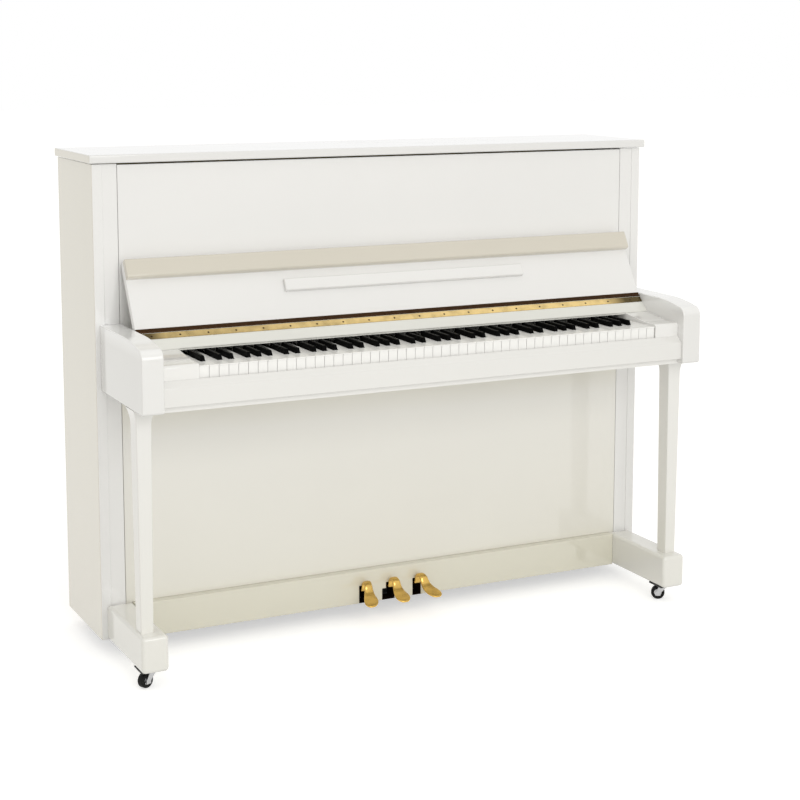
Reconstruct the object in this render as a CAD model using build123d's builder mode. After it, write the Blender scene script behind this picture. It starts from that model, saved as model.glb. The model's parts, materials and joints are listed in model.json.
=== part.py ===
"""Upright piano, 121 cm class: polished case, 88-note keyboard, action, plate, strings, pedals and casters.

X runs along the keyboard from bass to treble, -Y faces the player and Z is up, in millimetres.
The origin is on the floor, under the middle of the whole piano.
"""

import math
import os

from build123d import *

os.makedirs("parts", exist_ok=True)

# Clearances
running_gap = 0.3  # between pieces that move past each other
pin_gap = 0.05  # radial, round a hinge pin or an axle
panel_gap = 1  # at each end of the panels and the fallboard

# Case
case_width = 1530  # across the lid
case_height = 1210  # floor to lid top
case_depth = 612  # back posts to arm fronts
base_height = 43  # floor to the underside of the case
side_depth = 292
side_thickness = 25
side_inset = 6  # sides stop short of the back posts
pillar_width = 36
pillar_depth = 34
pillar_setback = 2
edge_round = 2.5
lid_thickness = 20
lid_overhang = 8  # past each side
lid_nose = 12  # past the sides' front edges
lid_gap = 2  # over the sides
panel_thickness = 20
plinth_height = 85
plinth_proud = 22  # in front of the sides
board_thickness = 18  # bottom board

# Arms, legs and toe blocks
arm_inset = 12  # from the outside of the case
arm_width = 52
arm_bottom = 652
arm_top = 810
arm_drop = 17  # fall of the top edge towards the front
arm_slope_length = 130
arm_nose_round = 24
arm_heel_round = 6
toe_length = 270
toe_width = 64
toe_height = 86
toe_round = 8
leg_setback = 29  # behind the toe front
leg_width = 36
leg_depth = 46
leg_taper = 3  # lost on each face towards the floor
leg_flare = 8  # gained on each face under the arm
leg_flare_height = 42

# Keyboard
white_count = 52
key_gap = 1  # between neighbouring keys
key_top = 750
key_height = 22
key_length = 350  # whole lever
key_head_length = 50
key_lip = 2.5  # cover past the key front
key_cover = 3
key_pivot = 220  # key front to balance rail
key_dip = 10
black_height = 12
black_width = 11
black_length = 98
black_side_slope = 84  # degrees
black_nose = 3
key_block_width = 80.7  # mean of the two, with the gap to the keys
keyboard_offset = 11  # towards the treble
keybed_thickness = 40
keybed_top = 690
slip_setback = 8  # behind the arm fronts
slip_thickness = 17
slip_drop = 26  # keybed top down to the slip's lower edge
slip_height = 58
slip_bevel = 15
slip_gap = 3  # slip to key fronts
block_rise = 6  # key blocks over the white keys
block_round = 8
block_ramp = 88  # rise of the key blocks in front of the fallboard rail
key_rail_width = 22

# Fallboard and its long hinge
hinge_setback = 110  # pin in front of the panels
hinge_z = 803
hinge_leaf = 1.5
hinge_leaf_width = 20
hinge_wing_width = 14  # leaf on the fallboard
hinge_knuckle = 3  # radius
hinge_pin = 1.2  # radius
hinge_knuckle_count = 11
knuckle_sides = 6  # flats that stand for the round of knuckles, pins and their bores
rail_slope = 40  # degrees below level
rail_slope_length = 52
rail_bottom = 766
rail_thickness = 26
fall_length = 182
fall_thickness = 18
fall_heel = 4  # hinge pin to the board's edge
bar_height = 48
bar_proud = 17
bar_round = 6
ledge_length = 660
ledge_width = 32
ledge_thickness = 11
ledge_rise = 78  # hinge pin to the ledge
ledge_offset = 26
ledge_round = 4

# Lid hinges
lid_hinge_count = 3
lid_hinge_spacing = 560
lid_hinge_length = 90
lid_leaf = 1.7
lid_leaf_width = 30
lid_knuckle = 3.5  # radius
lid_pin = 1.5  # radius

# Back, soundboard, plate and strings
post_count = 5
post_width = 90
post_depth = 74
beam_height = 120
liner_depth = 18
liner_width = 40
block_depth = 42  # pin block in front of the posts
block_height = 100
soundboard_thickness = 8
rib_count = 9
rib_width = 22
rib_height = 16
rib_angle = 35
bridge_width = 30
plate_thickness = 12
plate_margin = 40  # inside the case sides
plate_bottom = 120
string_stand = 13  # strings in front of the plate, at the hammers
string_width = 1.5
bass_string_width = 2.5
tuning_pin = 7
hitch_pin = 4
pin_stand = 28  # tuning pin past the plate
pin_row = 18
pin_rise = 20  # lowest pin row over the pin block's underside
bass_count = 28
shortest_string = 70
longest_string = 860
string_growth = 0.87  # octaves of length per octave
treble_lean = 0.2
bass_lean = 0.3
bass_lift = 3  # bass strings in front of the treble, at the pins
bass_step = 13  # and at the hitch pins

# Action
hammer_pivot_z = 880
hammer_length = 128
hammer_reach = 42  # shank to nose
hammer_tail = 14
hammer_rest = 20  # degrees back from the strings
let_off = 1  # least gap of a raised hammer to its string
hammer_round = 11  # half width of the head
hammer_thickness = 9.5
shank_width = 5
butt_radius = 8  # foot of the shank
rest_rail_rise = 92
rest_rail_size = 14
main_rail_height = 36
main_rail_depth = 18
bracket_thickness = 8
bracket_width = 60
bracket_reach = 20  # past the keyboard's ends

# Pedals
pedal_spacing = 76
pedal_thickness = 9
pedal_neck = 18
pedal_paddle = 19  # radius of the tip
pedal_splay = 12  # outward lean of the outer paddles
pedal_reach = 92  # in front of the plinth
pedal_pivot = 160  # plinth front to pin
pedal_height = 82  # floor to the pin
pedal_exit = 76  # floor to the lever's middle in the slot
pedal_tip = 61
swan_start = 8  # the lever begins to rise this far inside the plinth's face
swan_height = 14  # over the slot, where the swan neck begins and ends its turn
swan_near = 8  # in front of the plinth, at the beginning of the turn
swan_far = 34  # and at the end
paddle_start = 52  # in front of the plinth, where the neck runs out into the paddle
paddle_height = 66
pedal_pin = 3  # radius
pedal_eye = 8  # radius
slot_width = 24
slot_height = 46
slot_step_width = 11
slot_step_height = 30
bracket_plate = 4
cheek_slope = 74  # degrees

# Casters
wheel_radius = 18
wheel_width = 18
axle_radius = 3
caster_plate = 2.5
caster_plate_size = 60
caster_plate_corner = 3
fork_sheet = 2.5
fork_gap = 0.6  # beside the wheel
fork_disc = 22  # radius
fork_foot = 7  # half width of a cheek at and below the axle
caster_trail = 16
front_caster_setback = 44  # behind the toe fronts
rear_caster_inset = 92  # inside the case sides
caster_turn = {"left": 205, "right": 146}  # degrees, as they happen to stand

# Main lines worked out from the sizes above
back_y = case_depth / 2
front_y = -back_y
side_back_y = back_y - side_inset
side_front_y = side_back_y - side_depth
side_outer = case_width / 2 - lid_overhang
side_inner = side_outer - side_thickness
pillar_inner = side_inner - pillar_width
side_top = case_height - lid_thickness - lid_gap
lid_under = case_height - lid_thickness
panel_front_y = side_front_y + pillar_setback
panel_back_y = panel_front_y + panel_thickness
panel_half = pillar_inner - panel_gap
hinge_y = panel_front_y - hinge_setback
arm_outer = side_outer - arm_inset
arm_inner = arm_outer - arm_width
toe_outer = arm_outer - edge_round
toe_inner = toe_outer - toe_width
toe_front_y = side_front_y - toe_length
toe_top = base_height + toe_height
plinth_front_y = side_front_y - plinth_proud
plinth_back_y = panel_back_y + pillar_setback
plinth_top = base_height + plinth_height
pedal_pin_y = plinth_front_y + pedal_pivot
keybed_bottom = keybed_top - keybed_thickness
slip_front_y = front_y + slip_setback
slip_back_y = slip_front_y + slip_thickness
key_front_y = slip_back_y + slip_gap
key_back_y = key_front_y + key_length
key_bottom = key_top - key_height
pivot_y = key_front_y + key_pivot
keyboard_half = arm_inner - key_block_width
white_pitch = 2 * keyboard_half / white_count
keyboard_left = keyboard_offset - keyboard_half
block_top = key_top + block_rise
rail_top = rail_bottom + rail_thickness
post_front_y = back_y - post_depth
board_back_y = post_front_y - liner_depth
board_front_y = board_back_y - soundboard_thickness
pin_block_front_y = post_front_y - block_depth
plate_front_y = pin_block_front_y - plate_thickness
string_plane = plate_front_y - string_stand
beam_top = lid_under - 2 * lid_leaf - running_gap
pin_block_bottom = beam_top - block_height
hammer_pivot_y = string_plane - bass_lift - bass_string_width - hammer_reach - let_off
main_rail_y = hammer_pivot_y + butt_radius + running_gap

# The open fallboard leans on the upper panel, and the closed one rests on the key blocks
fall_back = hinge_leaf + fall_thickness
lean_reach = (panel_front_y - running_gap - hinge_y) / math.hypot(fall_length, fall_back)
fall_lean = math.degrees(math.asin(lean_reach) - math.atan2(fall_back, fall_length))
close_reach = (hinge_z - block_top - running_gap) / math.hypot(fall_length, bar_proud)
fall_close = math.degrees(math.asin(close_reach) - math.atan2(bar_proud, fall_length))
print(f"fallboard leans back {fall_lean:.3f} and closes {fall_close:.3f} degrees below level")


def finish(piece, label):
    piece.part.label = label
    export_step(piece.part, f"parts/{label}.step")


def along_x(origin, angle, hand=1):
    """A plane across X: its own x axis points up, tilted by the angle towards +Y."""
    tilt = math.radians(angle)
    return Plane(origin, x_dir=(0, math.sin(tilt), math.cos(tilt)), z_dir=(hand, 0, 0))


def facing(y):
    """A plane facing the player at the given depth."""
    return Plane.XZ.offset(-y)


# Side panels, each with its inner pillar
for hand, label in ((-1, "left_side"), (1, "right_side")):
    with BuildPart() as side:
        with BuildSketch(Plane.XY.offset(base_height)):
            with BuildLine():
                Polyline(
                    (hand * side_outer, side_front_y),
                    (hand * side_outer, side_back_y),
                    (hand * side_inner, side_back_y),
                    (hand * side_inner, panel_front_y + pillar_depth),
                    (hand * pillar_inner, panel_front_y + pillar_depth),
                    (hand * pillar_inner, panel_front_y),
                    (hand * side_inner, panel_front_y),
                    (hand * side_inner, side_front_y),
                    close=True,
                )
            make_face()
        extrude(amount=side_top - base_height)
        corners = side.edges().filter_by(Axis.Z).group_by(Axis.Y)[0].sort_by(Axis.X)
        fillet(corners[0 if hand < 0 else -1], edge_round)
    finish(side, label)

# Upper and lower panels
with BuildPart() as upper_panel:
    with BuildSketch(facing(panel_back_y)):
        with Locations((0, rail_top)):
            Rectangle(2 * panel_half, side_top - rail_top, align=(Align.CENTER, Align.MIN))
    extrude(amount=panel_thickness)
    fillet(upper_panel.edges().filter_by(Axis.X).group_by(Axis.Z)[-1], edge_round)
finish(upper_panel, "upper_panel")

with BuildPart() as lower_panel:
    with BuildSketch(facing(panel_back_y)):
        with Locations((0, plinth_top)):
            Rectangle(
                2 * panel_half,
                keybed_bottom - slip_gap - plinth_top,
                align=(Align.CENTER, Align.MIN),
            )
    extrude(amount=panel_thickness)
    fillet(lower_panel.edges().filter_by(Axis.Z).group_by(Axis.Y)[0], edge_round)
finish(lower_panel, "lower_panel")

# Plinth, with a slot for each pedal and a side step in the middle one to hold that pedal down
with BuildPart() as plinth:
    with BuildSketch(facing(plinth_back_y)):
        with Locations((0, base_height)):
            Rectangle(2 * toe_inner, plinth_height, align=(Align.CENTER, Align.MIN))
        with Locations(*[(n * pedal_spacing, base_height) for n in (-1, 0, 1)]):
            Rectangle(slot_width, slot_height, align=(Align.CENTER, Align.MIN), mode=Mode.SUBTRACT)
        with Locations((-slot_width / 2, base_height)):
            Rectangle(
                slot_step_width,
                slot_step_height,
                align=(Align.MAX, Align.MIN),
                mode=Mode.SUBTRACT,
            )
    extrude(amount=plinth_back_y - plinth_front_y)
    fillet(plinth.edges().filter_by(Axis.X).group_by(Axis.Y)[0].sort_by(Axis.Z)[-1], edge_round)
finish(plinth, "plinth")

# Bottom board
with BuildPart() as bottom_board:
    with BuildSketch(Plane.XY.offset(base_height)):
        with Locations((0, plinth_back_y)):
            Rectangle(
                2 * pillar_inner,
                post_front_y - plinth_back_y,
                align=(Align.CENTER, Align.MIN),
            )
        with Locations((0, post_front_y)):
            Rectangle(
                2 * side_inner,
                post_front_y - panel_front_y - pillar_depth,
                align=(Align.CENTER, Align.MAX),
            )
    extrude(amount=board_thickness)
finish(bottom_board, "bottom_board")

# Arms
with BuildPart() as arms:
    with BuildSketch(Plane.YZ.offset(arm_inner)) as arm_outline:
        with BuildLine():
            foot = Line((front_y, arm_bottom), (side_front_y, arm_bottom))
            heel = Line(foot @ 1, (side_front_y, arm_top))
            crest = Line(heel @ 1, (front_y + arm_slope_length, arm_top))
            slope = TangentArc(crest @ 1, (front_y, arm_top - arm_drop), tangent=crest % 1)
            Line(slope @ 1, foot @ 0)
        make_face()
        front_corners = arm_outline.vertices().group_by(Axis.X)[0].sort_by(Axis.Y)
        fillet(front_corners[1], arm_nose_round)
        fillet(front_corners[0], arm_heel_round)
    extrude(amount=arm_width)
    outer_edges = arms.faces().sort_by(Axis.X)[-1].edges().sort_by(Axis.Y)
    chamfer(outer_edges[:-1], edge_round)
    mirror(about=Plane.YZ)
finish(arms, "arms")

# Toe blocks
with BuildPart() as toe_blocks:
    with BuildSketch(Plane.XY.offset(base_height)):
        with Locations((toe_inner, toe_front_y)):
            Rectangle(toe_width, toe_length, align=(Align.MIN, Align.MIN))
    extrude(amount=toe_height)
    fillet(toe_blocks.edges().filter_by(Axis.Z).group_by(Axis.Y)[0], toe_round)
    top_edges = toe_blocks.faces().sort_by(Axis.Z)[-1].edges().sort_by(Axis.Y)
    chamfer(top_edges[:-1], edge_round)
    mirror(about=Plane.YZ)
finish(toe_blocks, "toe_blocks")

# Legs: a tapered post that coves out under the arm, the same outline from the front and from the side
leg_x = (arm_inner + arm_outer) / 2
leg_y = toe_front_y + leg_setback + leg_depth / 2


def leg_outline(plane, width):
    half = width / 2
    with BuildSketch(plane) as outline:
        with BuildLine():
            floor = Line((leg_taper - half, toe_top), (half - leg_taper, toe_top))
            post = Line(floor @ 1, (half, arm_bottom - leg_flare_height))
            cove = TangentArc(post @ 1, (half + leg_flare, arm_bottom), tangent=post % 1)
            head = Line(cove @ 1, (-half - leg_flare, arm_bottom))
            rise = Line(floor @ 0, (-half, arm_bottom - leg_flare_height))
            TangentArc(rise @ 1, head @ 1, tangent=rise % 1)
        make_face()
    return outline.sketch


leg_front = Plane((leg_x, leg_y, 0), x_dir=(1, 0, 0), z_dir=(0, -1, 0))
leg_side = Plane((leg_x, leg_y, 0), x_dir=(0, 1, 0), z_dir=(1, 0, 0))
with BuildPart() as legs:
    extrude(leg_outline(leg_front, leg_width), amount=leg_depth, both=True)
    extrude(leg_outline(leg_side, leg_depth), amount=leg_width, both=True, mode=Mode.INTERSECT)
    mirror(about=Plane.YZ)
finish(legs, "legs")

# Keybed with the three rails that the keys lie on
front_rail_y = key_front_y + key_lip + key_rail_width
back_rail_y = key_back_y - key_rail_width
front_rail_top = key_bottom - key_dip - running_gap
with BuildPart() as keybed:
    with BuildSketch(Plane.XY.offset(keybed_bottom)):
        with Locations((0, slip_back_y)):
            Rectangle(
                2 * arm_inner,
                main_rail_y + main_rail_depth - slip_back_y,
                align=(Align.CENTER, Align.MIN),
            )
    extrude(amount=keybed_thickness)
    with BuildSketch(Plane.YZ.offset(keyboard_left)):
        with Locations((front_rail_y, keybed_top)):
            Rectangle(key_rail_width, front_rail_top - keybed_top, align=(Align.CENTER, Align.MIN))
        with Locations((back_rail_y, keybed_top)):
            Rectangle(
                key_rail_width,
                key_bottom - running_gap - keybed_top,
                align=(Align.CENTER, Align.MIN),
            )
        with BuildLine():
            Polyline(
                (pivot_y - key_rail_width / 2, keybed_top),
                (pivot_y + key_rail_width / 2, keybed_top),
                (pivot_y, key_bottom - running_gap),
                close=True,
            )
        make_face()
    extrude(amount=2 * keyboard_half)
finish(keybed, "keybed")

# Key slip, bevelled towards the player
with BuildPart() as key_slip:
    with BuildSketch(Plane.YZ.offset(-arm_inner)) as slip_outline:
        with Locations((slip_front_y, keybed_top - slip_drop)):
            Rectangle(slip_thickness, slip_height, align=(Align.MIN, Align.MIN))
        top_front = slip_outline.vertices().group_by(Axis.X)[0].sort_by(Axis.Y)[-1]
        chamfer(top_front, slip_bevel)
    extrude(amount=2 * arm_inner)
finish(key_slip, "key_slip")

# Key blocks at both ends of the keyboard, rising at the back to the fallboard rail
slope_plane = along_x((0, hinge_y, hinge_z), -90 - rail_slope, hand=-1)
slope_top = slope_plane.from_local_coords((0, -hinge_leaf, 0))
slope_end = slope_plane.from_local_coords((rail_slope_length, -hinge_leaf, 0))
with BuildPart() as key_blocks:
    for inner, outer in (
        (keyboard_left - key_gap, -arm_inner),
        (keyboard_left + 2 * keyboard_half + key_gap, arm_inner),
    ):
        with BuildSketch(Plane.YZ.offset(inner)) as block_outline:
            with BuildLine():
                Polyline(
                    (slip_back_y, keybed_top),
                    (hinge_y, keybed_top),
                    (hinge_y, rail_bottom - running_gap),
                    (slope_end.Y, rail_bottom - running_gap),
                    (slope_end.Y - block_ramp, block_top),
                    (slip_back_y, block_top),
                    close=True,
                )
            make_face()
            fillet(block_outline.vertices().group_by(Axis.X)[0].sort_by(Axis.Y)[-1], block_round)
        extrude(amount=outer - inner)
finish(key_blocks, "key_blocks")

# Keys. Tails share the width of three or of four white heads evenly, so every lever is about as wide
note_names = ("c", "c_sharp", "d", "d_sharp", "e", "f", "f_sharp", "g", "g_sharp", "a", "a_sharp", "b")
white_notes = (0, 2, 4, 5, 7, 9, 11)
first_note = 9  # the lowest key is an A
whites_before = 5  # of its octave
note_count = 88
lower_tail = 3 * white_pitch / 5
upper_tail = 4 * white_pitch / 7
notch_y = key_front_y + key_head_length
black_back_y = notch_y + black_length


def octave_and_note(index):
    return divmod(index + first_note, len(note_names))


def octave_left(octave):
    return keyboard_left + (octave * len(white_notes) - whites_before) * white_pitch


def tail_span(index):
    """Left and right edge of a key's share of the width behind the heads."""
    octave, note = octave_and_note(index)
    if note < 5:
        left = octave_left(octave) + note * lower_tail
        return left, left + lower_tail
    left = octave_left(octave) + 3 * white_pitch + (note - 5) * upper_tail
    return left, left + upper_tail


def tail_middle(index):
    return sum(tail_span(index)) / 2


def white_key(index):
    octave, note = octave_and_note(index)
    head_left = octave_left(octave) + white_notes.index(note) * white_pitch
    left, right = tail_span(index)
    if index == 0:
        left = head_left
    if index == note_count - 1:
        right = head_left + white_pitch
    head = head_left + white_pitch / 2
    with BuildPart() as key:
        with BuildSketch(Plane.XY.offset(key_bottom)):
            with Locations((head, key_front_y + key_lip)):
                Rectangle(
                    white_pitch - key_gap,
                    key_head_length - key_lip,
                    align=(Align.CENTER, Align.MIN),
                )
            with Locations(((left + right) / 2, notch_y)):
                Rectangle(
                    right - left - key_gap,
                    key_back_y - notch_y,
                    align=(Align.CENTER, Align.MIN),
                )
        extrude(amount=key_height)
        with BuildSketch(Plane.XY.offset(key_top - key_cover)):
            with Locations((head, key_front_y)):
                Rectangle(white_pitch - key_gap, key_head_length, align=(Align.CENTER, Align.MIN))
        extrude(amount=key_cover)
    return key.part


def black_key(index):
    left, right = tail_span(index)
    middle = (left + right) / 2
    with BuildPart() as key:
        with BuildSketch(facing(black_back_y)):
            with Locations((middle, key_top - key_cover)):
                Trapezoid(
                    black_width,
                    black_height + key_cover,
                    black_side_slope,
                    align=(Align.CENTER, Align.MIN),
                )
        extrude(amount=black_length - key_gap)
        nose = key.edges().filter_by(Axis.X).group_by(Axis.Y)[0].sort_by(Axis.Z)[-1]
        chamfer(nose, black_height, black_nose, reference=key.faces().sort_by(Axis.Y)[0])
        with BuildSketch(Plane.XY.offset(key_bottom)):
            with Locations((middle, notch_y + key_gap)):
                Rectangle(
                    right - left - key_gap,
                    key_back_y - notch_y - key_gap,
                    align=(Align.CENTER, Align.MIN),
                )
        extrude(amount=key_height - key_cover)
    return key.part


for note, name in enumerate(note_names):
    same_note = [i for i in range(note_count) if octave_and_note(i)[1] == note]
    make_key = white_key if note in white_notes else black_key
    with BuildPart() as keys:
        add([make_key(i) for i in same_note])
    finish(keys, f"key_{name}")

# Fallboard rail, sloping from the hinge down to the keys
with BuildPart() as fallboard_rail:
    with BuildSketch(Plane.YZ.offset(-arm_inner)):
        with BuildLine():
            Polyline(
                (panel_back_y, rail_bottom),
                (panel_back_y, rail_top),
                (hinge_y + fall_heel, rail_top),
                (slope_top.Y, slope_top.Z),
                (slope_end.Y, slope_end.Z),
                (slope_end.Y, rail_bottom),
                close=True,
            )
        make_face()
        with Locations((hinge_y, hinge_z)):
            Circle(hinge_knuckle + running_gap, mode=Mode.SUBTRACT)
    extrude(amount=2 * arm_inner)
finish(fallboard_rail, "fallboard_rail")


def hinge_leaf_part(plane, sizes, length, first, bored, drop=0):
    """One leaf along X: a strip below the plane's x axis, with every other knuckle round the pin."""
    leaf, width, knuckle, pin, count = sizes
    pitch = length / count
    with BuildPart() as half:
        with BuildSketch(plane.offset(-length / 2)):
            with Locations((knuckle + running_gap, -drop)):
                Rectangle(width - knuckle, leaf, align=(Align.MIN, Align.MAX))
        extrude(amount=length)
        for n in range(first, count, 2):
            start = n * pitch - length / 2 + running_gap
            with BuildSketch(plane.offset(start)):
                RegularPolygon(knuckle, knuckle_sides)
                with Locations((0, -drop)):
                    Rectangle(knuckle + 2 * running_gap, leaf, align=(Align.MIN, Align.MAX))
                if bored:
                    RegularPolygon(pin + pin_gap, knuckle_sides, major_radius=False, mode=Mode.SUBTRACT)
            extrude(amount=pitch - 2 * running_gap)
        if not bored:
            with BuildSketch(plane.offset(-length / 2)):
                RegularPolygon(pin, knuckle_sides)
            extrude(amount=length)
    return half


fall_half = arm_inner - panel_gap
fall_plane = along_x((0, hinge_y, hinge_z), fall_lean)
fixed_sizes = (hinge_leaf, hinge_leaf_width, hinge_knuckle, hinge_pin, hinge_knuckle_count)
wing_sizes = (hinge_leaf, hinge_wing_width, hinge_knuckle, hinge_pin, hinge_knuckle_count)
hinge_fixed = hinge_leaf_part(slope_plane, fixed_sizes, 2 * fall_half, 0, bored=False)
finish(hinge_fixed, "fallboard_hinge_fixed")
hinge_wing = hinge_leaf_part(fall_plane, wing_sizes, 2 * fall_half, 1, bored=True)
finish(hinge_wing, "fallboard_hinge_wing")

# Fallboard: a board with a rounded bar along its free edge
with BuildPart() as fallboard:
    with BuildSketch(fall_plane.offset(-fall_half)) as fall_outline:
        with BuildLine():
            Polyline(
                (fall_heel, -hinge_leaf),
                (fall_length - bar_height, -hinge_leaf),
                (fall_length - bar_height, bar_proud),
                (fall_length, bar_proud),
                (fall_length, -fall_back),
                (fall_heel, -fall_back),
                close=True,
            )
        make_face()
        bar_corners = fall_outline.vertices().group_by(Axis.Y)[-1]
        fillet(bar_corners, bar_round)
        fillet(fall_outline.vertices().group_by(Axis.X)[-1].sort_by(Axis.Y)[0], edge_round)
    extrude(amount=2 * fall_half)
finish(fallboard, "fallboard")

with BuildPart() as music_ledge:
    with BuildSketch(fall_plane.offset(ledge_offset - ledge_length / 2)) as ledge_outline:
        with Locations((ledge_rise, running_gap - hinge_leaf)):
            Rectangle(ledge_width, ledge_thickness, align=(Align.MIN, Align.MIN))
        fillet(ledge_outline.vertices().group_by(Axis.Y)[-1], ledge_round)
    extrude(amount=ledge_length)
finish(music_ledge, "music_ledge")

# Top lid on three butt hinges along its back edge
lid_axis_y = back_y - lid_knuckle - running_gap
lid_axis_z = lid_under - lid_leaf - running_gap / 2
lid_back_y = lid_axis_y - lid_knuckle - running_gap
lid_front_y = side_front_y - lid_nose
with BuildPart() as top_lid:
    with BuildSketch(Plane.XY.offset(lid_under)):
        with Locations((0, lid_front_y)):
            Rectangle(case_width, lid_back_y - lid_front_y, align=(Align.CENTER, Align.MIN))
    extrude(amount=lid_thickness)
    top_edges = top_lid.faces().sort_by(Axis.Z)[-1].edges().sort_by(Axis.Y)
    chamfer(top_edges[:-1], edge_round)
finish(top_lid, "top_lid")

lid_hinge_places = GridLocations(lid_hinge_spacing, 1, lid_hinge_count, 1)
lid_sizes = (lid_leaf, lid_leaf_width, lid_knuckle, lid_pin, lid_hinge_count)
under_leaf = Plane((0, lid_axis_y, lid_axis_z), x_dir=(0, -1, 0), z_dir=(-1, 0, 0))
over_leaf = Plane((0, lid_axis_y, lid_axis_z), x_dir=(0, -1, 0), z_dir=(1, 0, 0))
leaf_drop = running_gap / 2
lower_leaf = hinge_leaf_part(under_leaf, lid_sizes, lid_hinge_length, 0, bored=False, drop=leaf_drop)
upper_leaf = hinge_leaf_part(over_leaf, lid_sizes, lid_hinge_length, 1, bored=True, drop=leaf_drop)
for leaf, label in ((lower_leaf, "lid_hinge_fixed"), (upper_leaf, "lid_hinge_moving")):
    with BuildPart() as lid_hinges:
        with lid_hinge_places:
            add(leaf.part)
    finish(lid_hinges, label)

# Back: posts and beams, the liner that the soundboard is glued to, and the pin block
frame_height = beam_top - base_height
bay_width = (2 * side_inner - post_count * post_width) / (post_count - 1)
bay_height = frame_height - 2 * beam_height
board_height = pin_block_bottom - running_gap - toe_top
with BuildPart() as back_frame:
    with BuildSketch(facing(back_y)):
        with Locations((0, base_height + frame_height / 2)):
            Rectangle(2 * side_inner, frame_height)
        with Locations((0, base_height + frame_height / 2)):
            with GridLocations(bay_width + post_width, 1, post_count - 1, 1):
                Rectangle(bay_width, bay_height, mode=Mode.SUBTRACT)
    extrude(amount=post_depth)
    with BuildSketch(facing(post_front_y)):
        with Locations((0, toe_top)):
            Rectangle(2 * side_inner, board_height, align=(Align.CENTER, Align.MIN))
        with Locations((0, toe_top + liner_width)):
            Rectangle(
                2 * (side_inner - liner_width),
                board_height - 2 * liner_width,
                align=(Align.CENTER, Align.MIN),
                mode=Mode.SUBTRACT,
            )
    extrude(amount=liner_depth)
    with BuildSketch(facing(post_front_y)):
        with Locations((0, pin_block_bottom)):
            Rectangle(2 * side_inner, block_height, align=(Align.CENTER, Align.MIN))
    extrude(amount=block_depth)
    with BuildSketch(Plane.YZ.offset(-side_inner)):
        with Locations((lid_back_y, lid_axis_z - lid_knuckle - running_gap)):
            Rectangle(back_y - lid_back_y, lid_thickness, align=(Align.MIN, Align.MIN))
    extrude(amount=2 * side_inner, mode=Mode.SUBTRACT)
finish(back_frame, "back_frame")

# Strings run from a tuning pin down to the plate's face; the bass crosses in front, to hitch pins that stand up
pin_z = pin_block_bottom + pin_rise


def string_ends(index):
    x = tail_middle(index)
    if index < bass_count:
        z = pin_z + pin_row * (2 - index % 3)
        low_z = plate_bottom + pin_row * (1.5 + index % 2)
        low_x = x + bass_lean * (z - low_z)
        return (x, string_plane - bass_lift, z), (low_x, string_plane - bass_step, low_z)
    z = pin_z + pin_row * (index % 3)
    octaves = (note_count - 1 - index) / len(note_names)
    length = min(shortest_string * 2 ** (octaves * string_growth), longest_string)
    return (x, string_plane, z), (x - treble_lean * length, plate_front_y - string_width, z - length)


wires = []
for index in range(note_count):
    top, low = string_ends(index)
    width = bass_string_width if index < bass_count else string_width
    run = Vector(*low) - Vector(*top)
    with BuildPart() as wire:
        with BuildSketch(Plane(top, z_dir=run)):
            RegularPolygon(width / 2, 3)
        extrude(amount=run.length)
        with BuildSketch(facing(plate_front_y)):
            with Locations((top[0], top[2])):
                RegularPolygon(tuning_pin / 2, 3)
        extrude(amount=pin_stand)
        if index < bass_count:
            with BuildSketch(facing(plate_front_y)):
                with Locations((low[0], low[2])):
                    RegularPolygon(hitch_pin / 2, 3)
            extrude(amount=plate_front_y - low[1] + hitch_pin / 2)
    wires.append(wire.part)
with BuildPart() as strings:
    add(wires)
finish(strings, "strings")

# Soundboard with its ribs behind and the long bridge in front
bridge_notes = (bass_count, (bass_count + note_count) // 2, note_count - len(white_notes))
bridge_ends = [string_ends(i)[1] for i in bridge_notes]
with BuildPart() as soundboard:
    with BuildSketch(facing(board_back_y)):
        with Locations((0, toe_top)):
            Rectangle(2 * side_inner, board_height, align=(Align.CENTER, Align.MIN))
    extrude(amount=soundboard_thickness)
    rib_room = 2 * (side_inner - liner_width - rib_width)
    with BuildSketch(Plane.XZ.offset(-board_back_y)):
        with Locations((0, toe_top + board_height / 2)):
            with GridLocations(rib_room / rib_count, 1, rib_count, 1):
                Rectangle(rib_width, 2 * board_height, rotation=rib_angle)
        with Locations((0, toe_top + board_height / 2)):
            Rectangle(
                rib_room,
                board_height - 2 * (liner_width + rib_width),
                mode=Mode.INTERSECT,
            )
    extrude(amount=-rib_height)
    with BuildSketch(facing(board_front_y)):
        with BuildLine():
            bridge_line = ThreePointArc(*[(x, z + bridge_width) for x, _, z in bridge_ends])
        trace(bridge_line, bridge_width)
    extrude(amount=board_front_y - pin_block_front_y - running_gap)
finish(soundboard, "soundboard")

# Iron plate: an open frame, with slanted struts between the groups of treble strings
plate_half = side_inner - plate_margin
groups = (
    (bass_count + 2, bass_count + 18),
    (bass_count + 20, bass_count + 36),
    (bass_count + 38, note_count - 8),
)
with BuildPart() as iron_plate:
    with BuildSketch(facing(pin_block_front_y)) as plate_outline:
        with Locations((0, plate_bottom)):
            Rectangle(2 * plate_half, beam_top - plate_bottom, align=(Align.CENTER, Align.MIN))
        fillet(plate_outline.vertices(), plate_margin)
        for first, last in groups:
            (x1, _, _), (x2, _, z2) = string_ends(first)
            (x3, _, _), (x4, _, z4) = string_ends(last)
            with BuildLine():
                Polyline(
                    (x1, pin_block_bottom),
                    (x2, z2 + plate_margin),
                    (x4, z4 + plate_margin),
                    (x3, pin_block_bottom),
                    close=True,
                )
            make_face(mode=Mode.SUBTRACT)
    extrude(amount=plate_thickness)
finish(iron_plate, "iron_plate")

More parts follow.
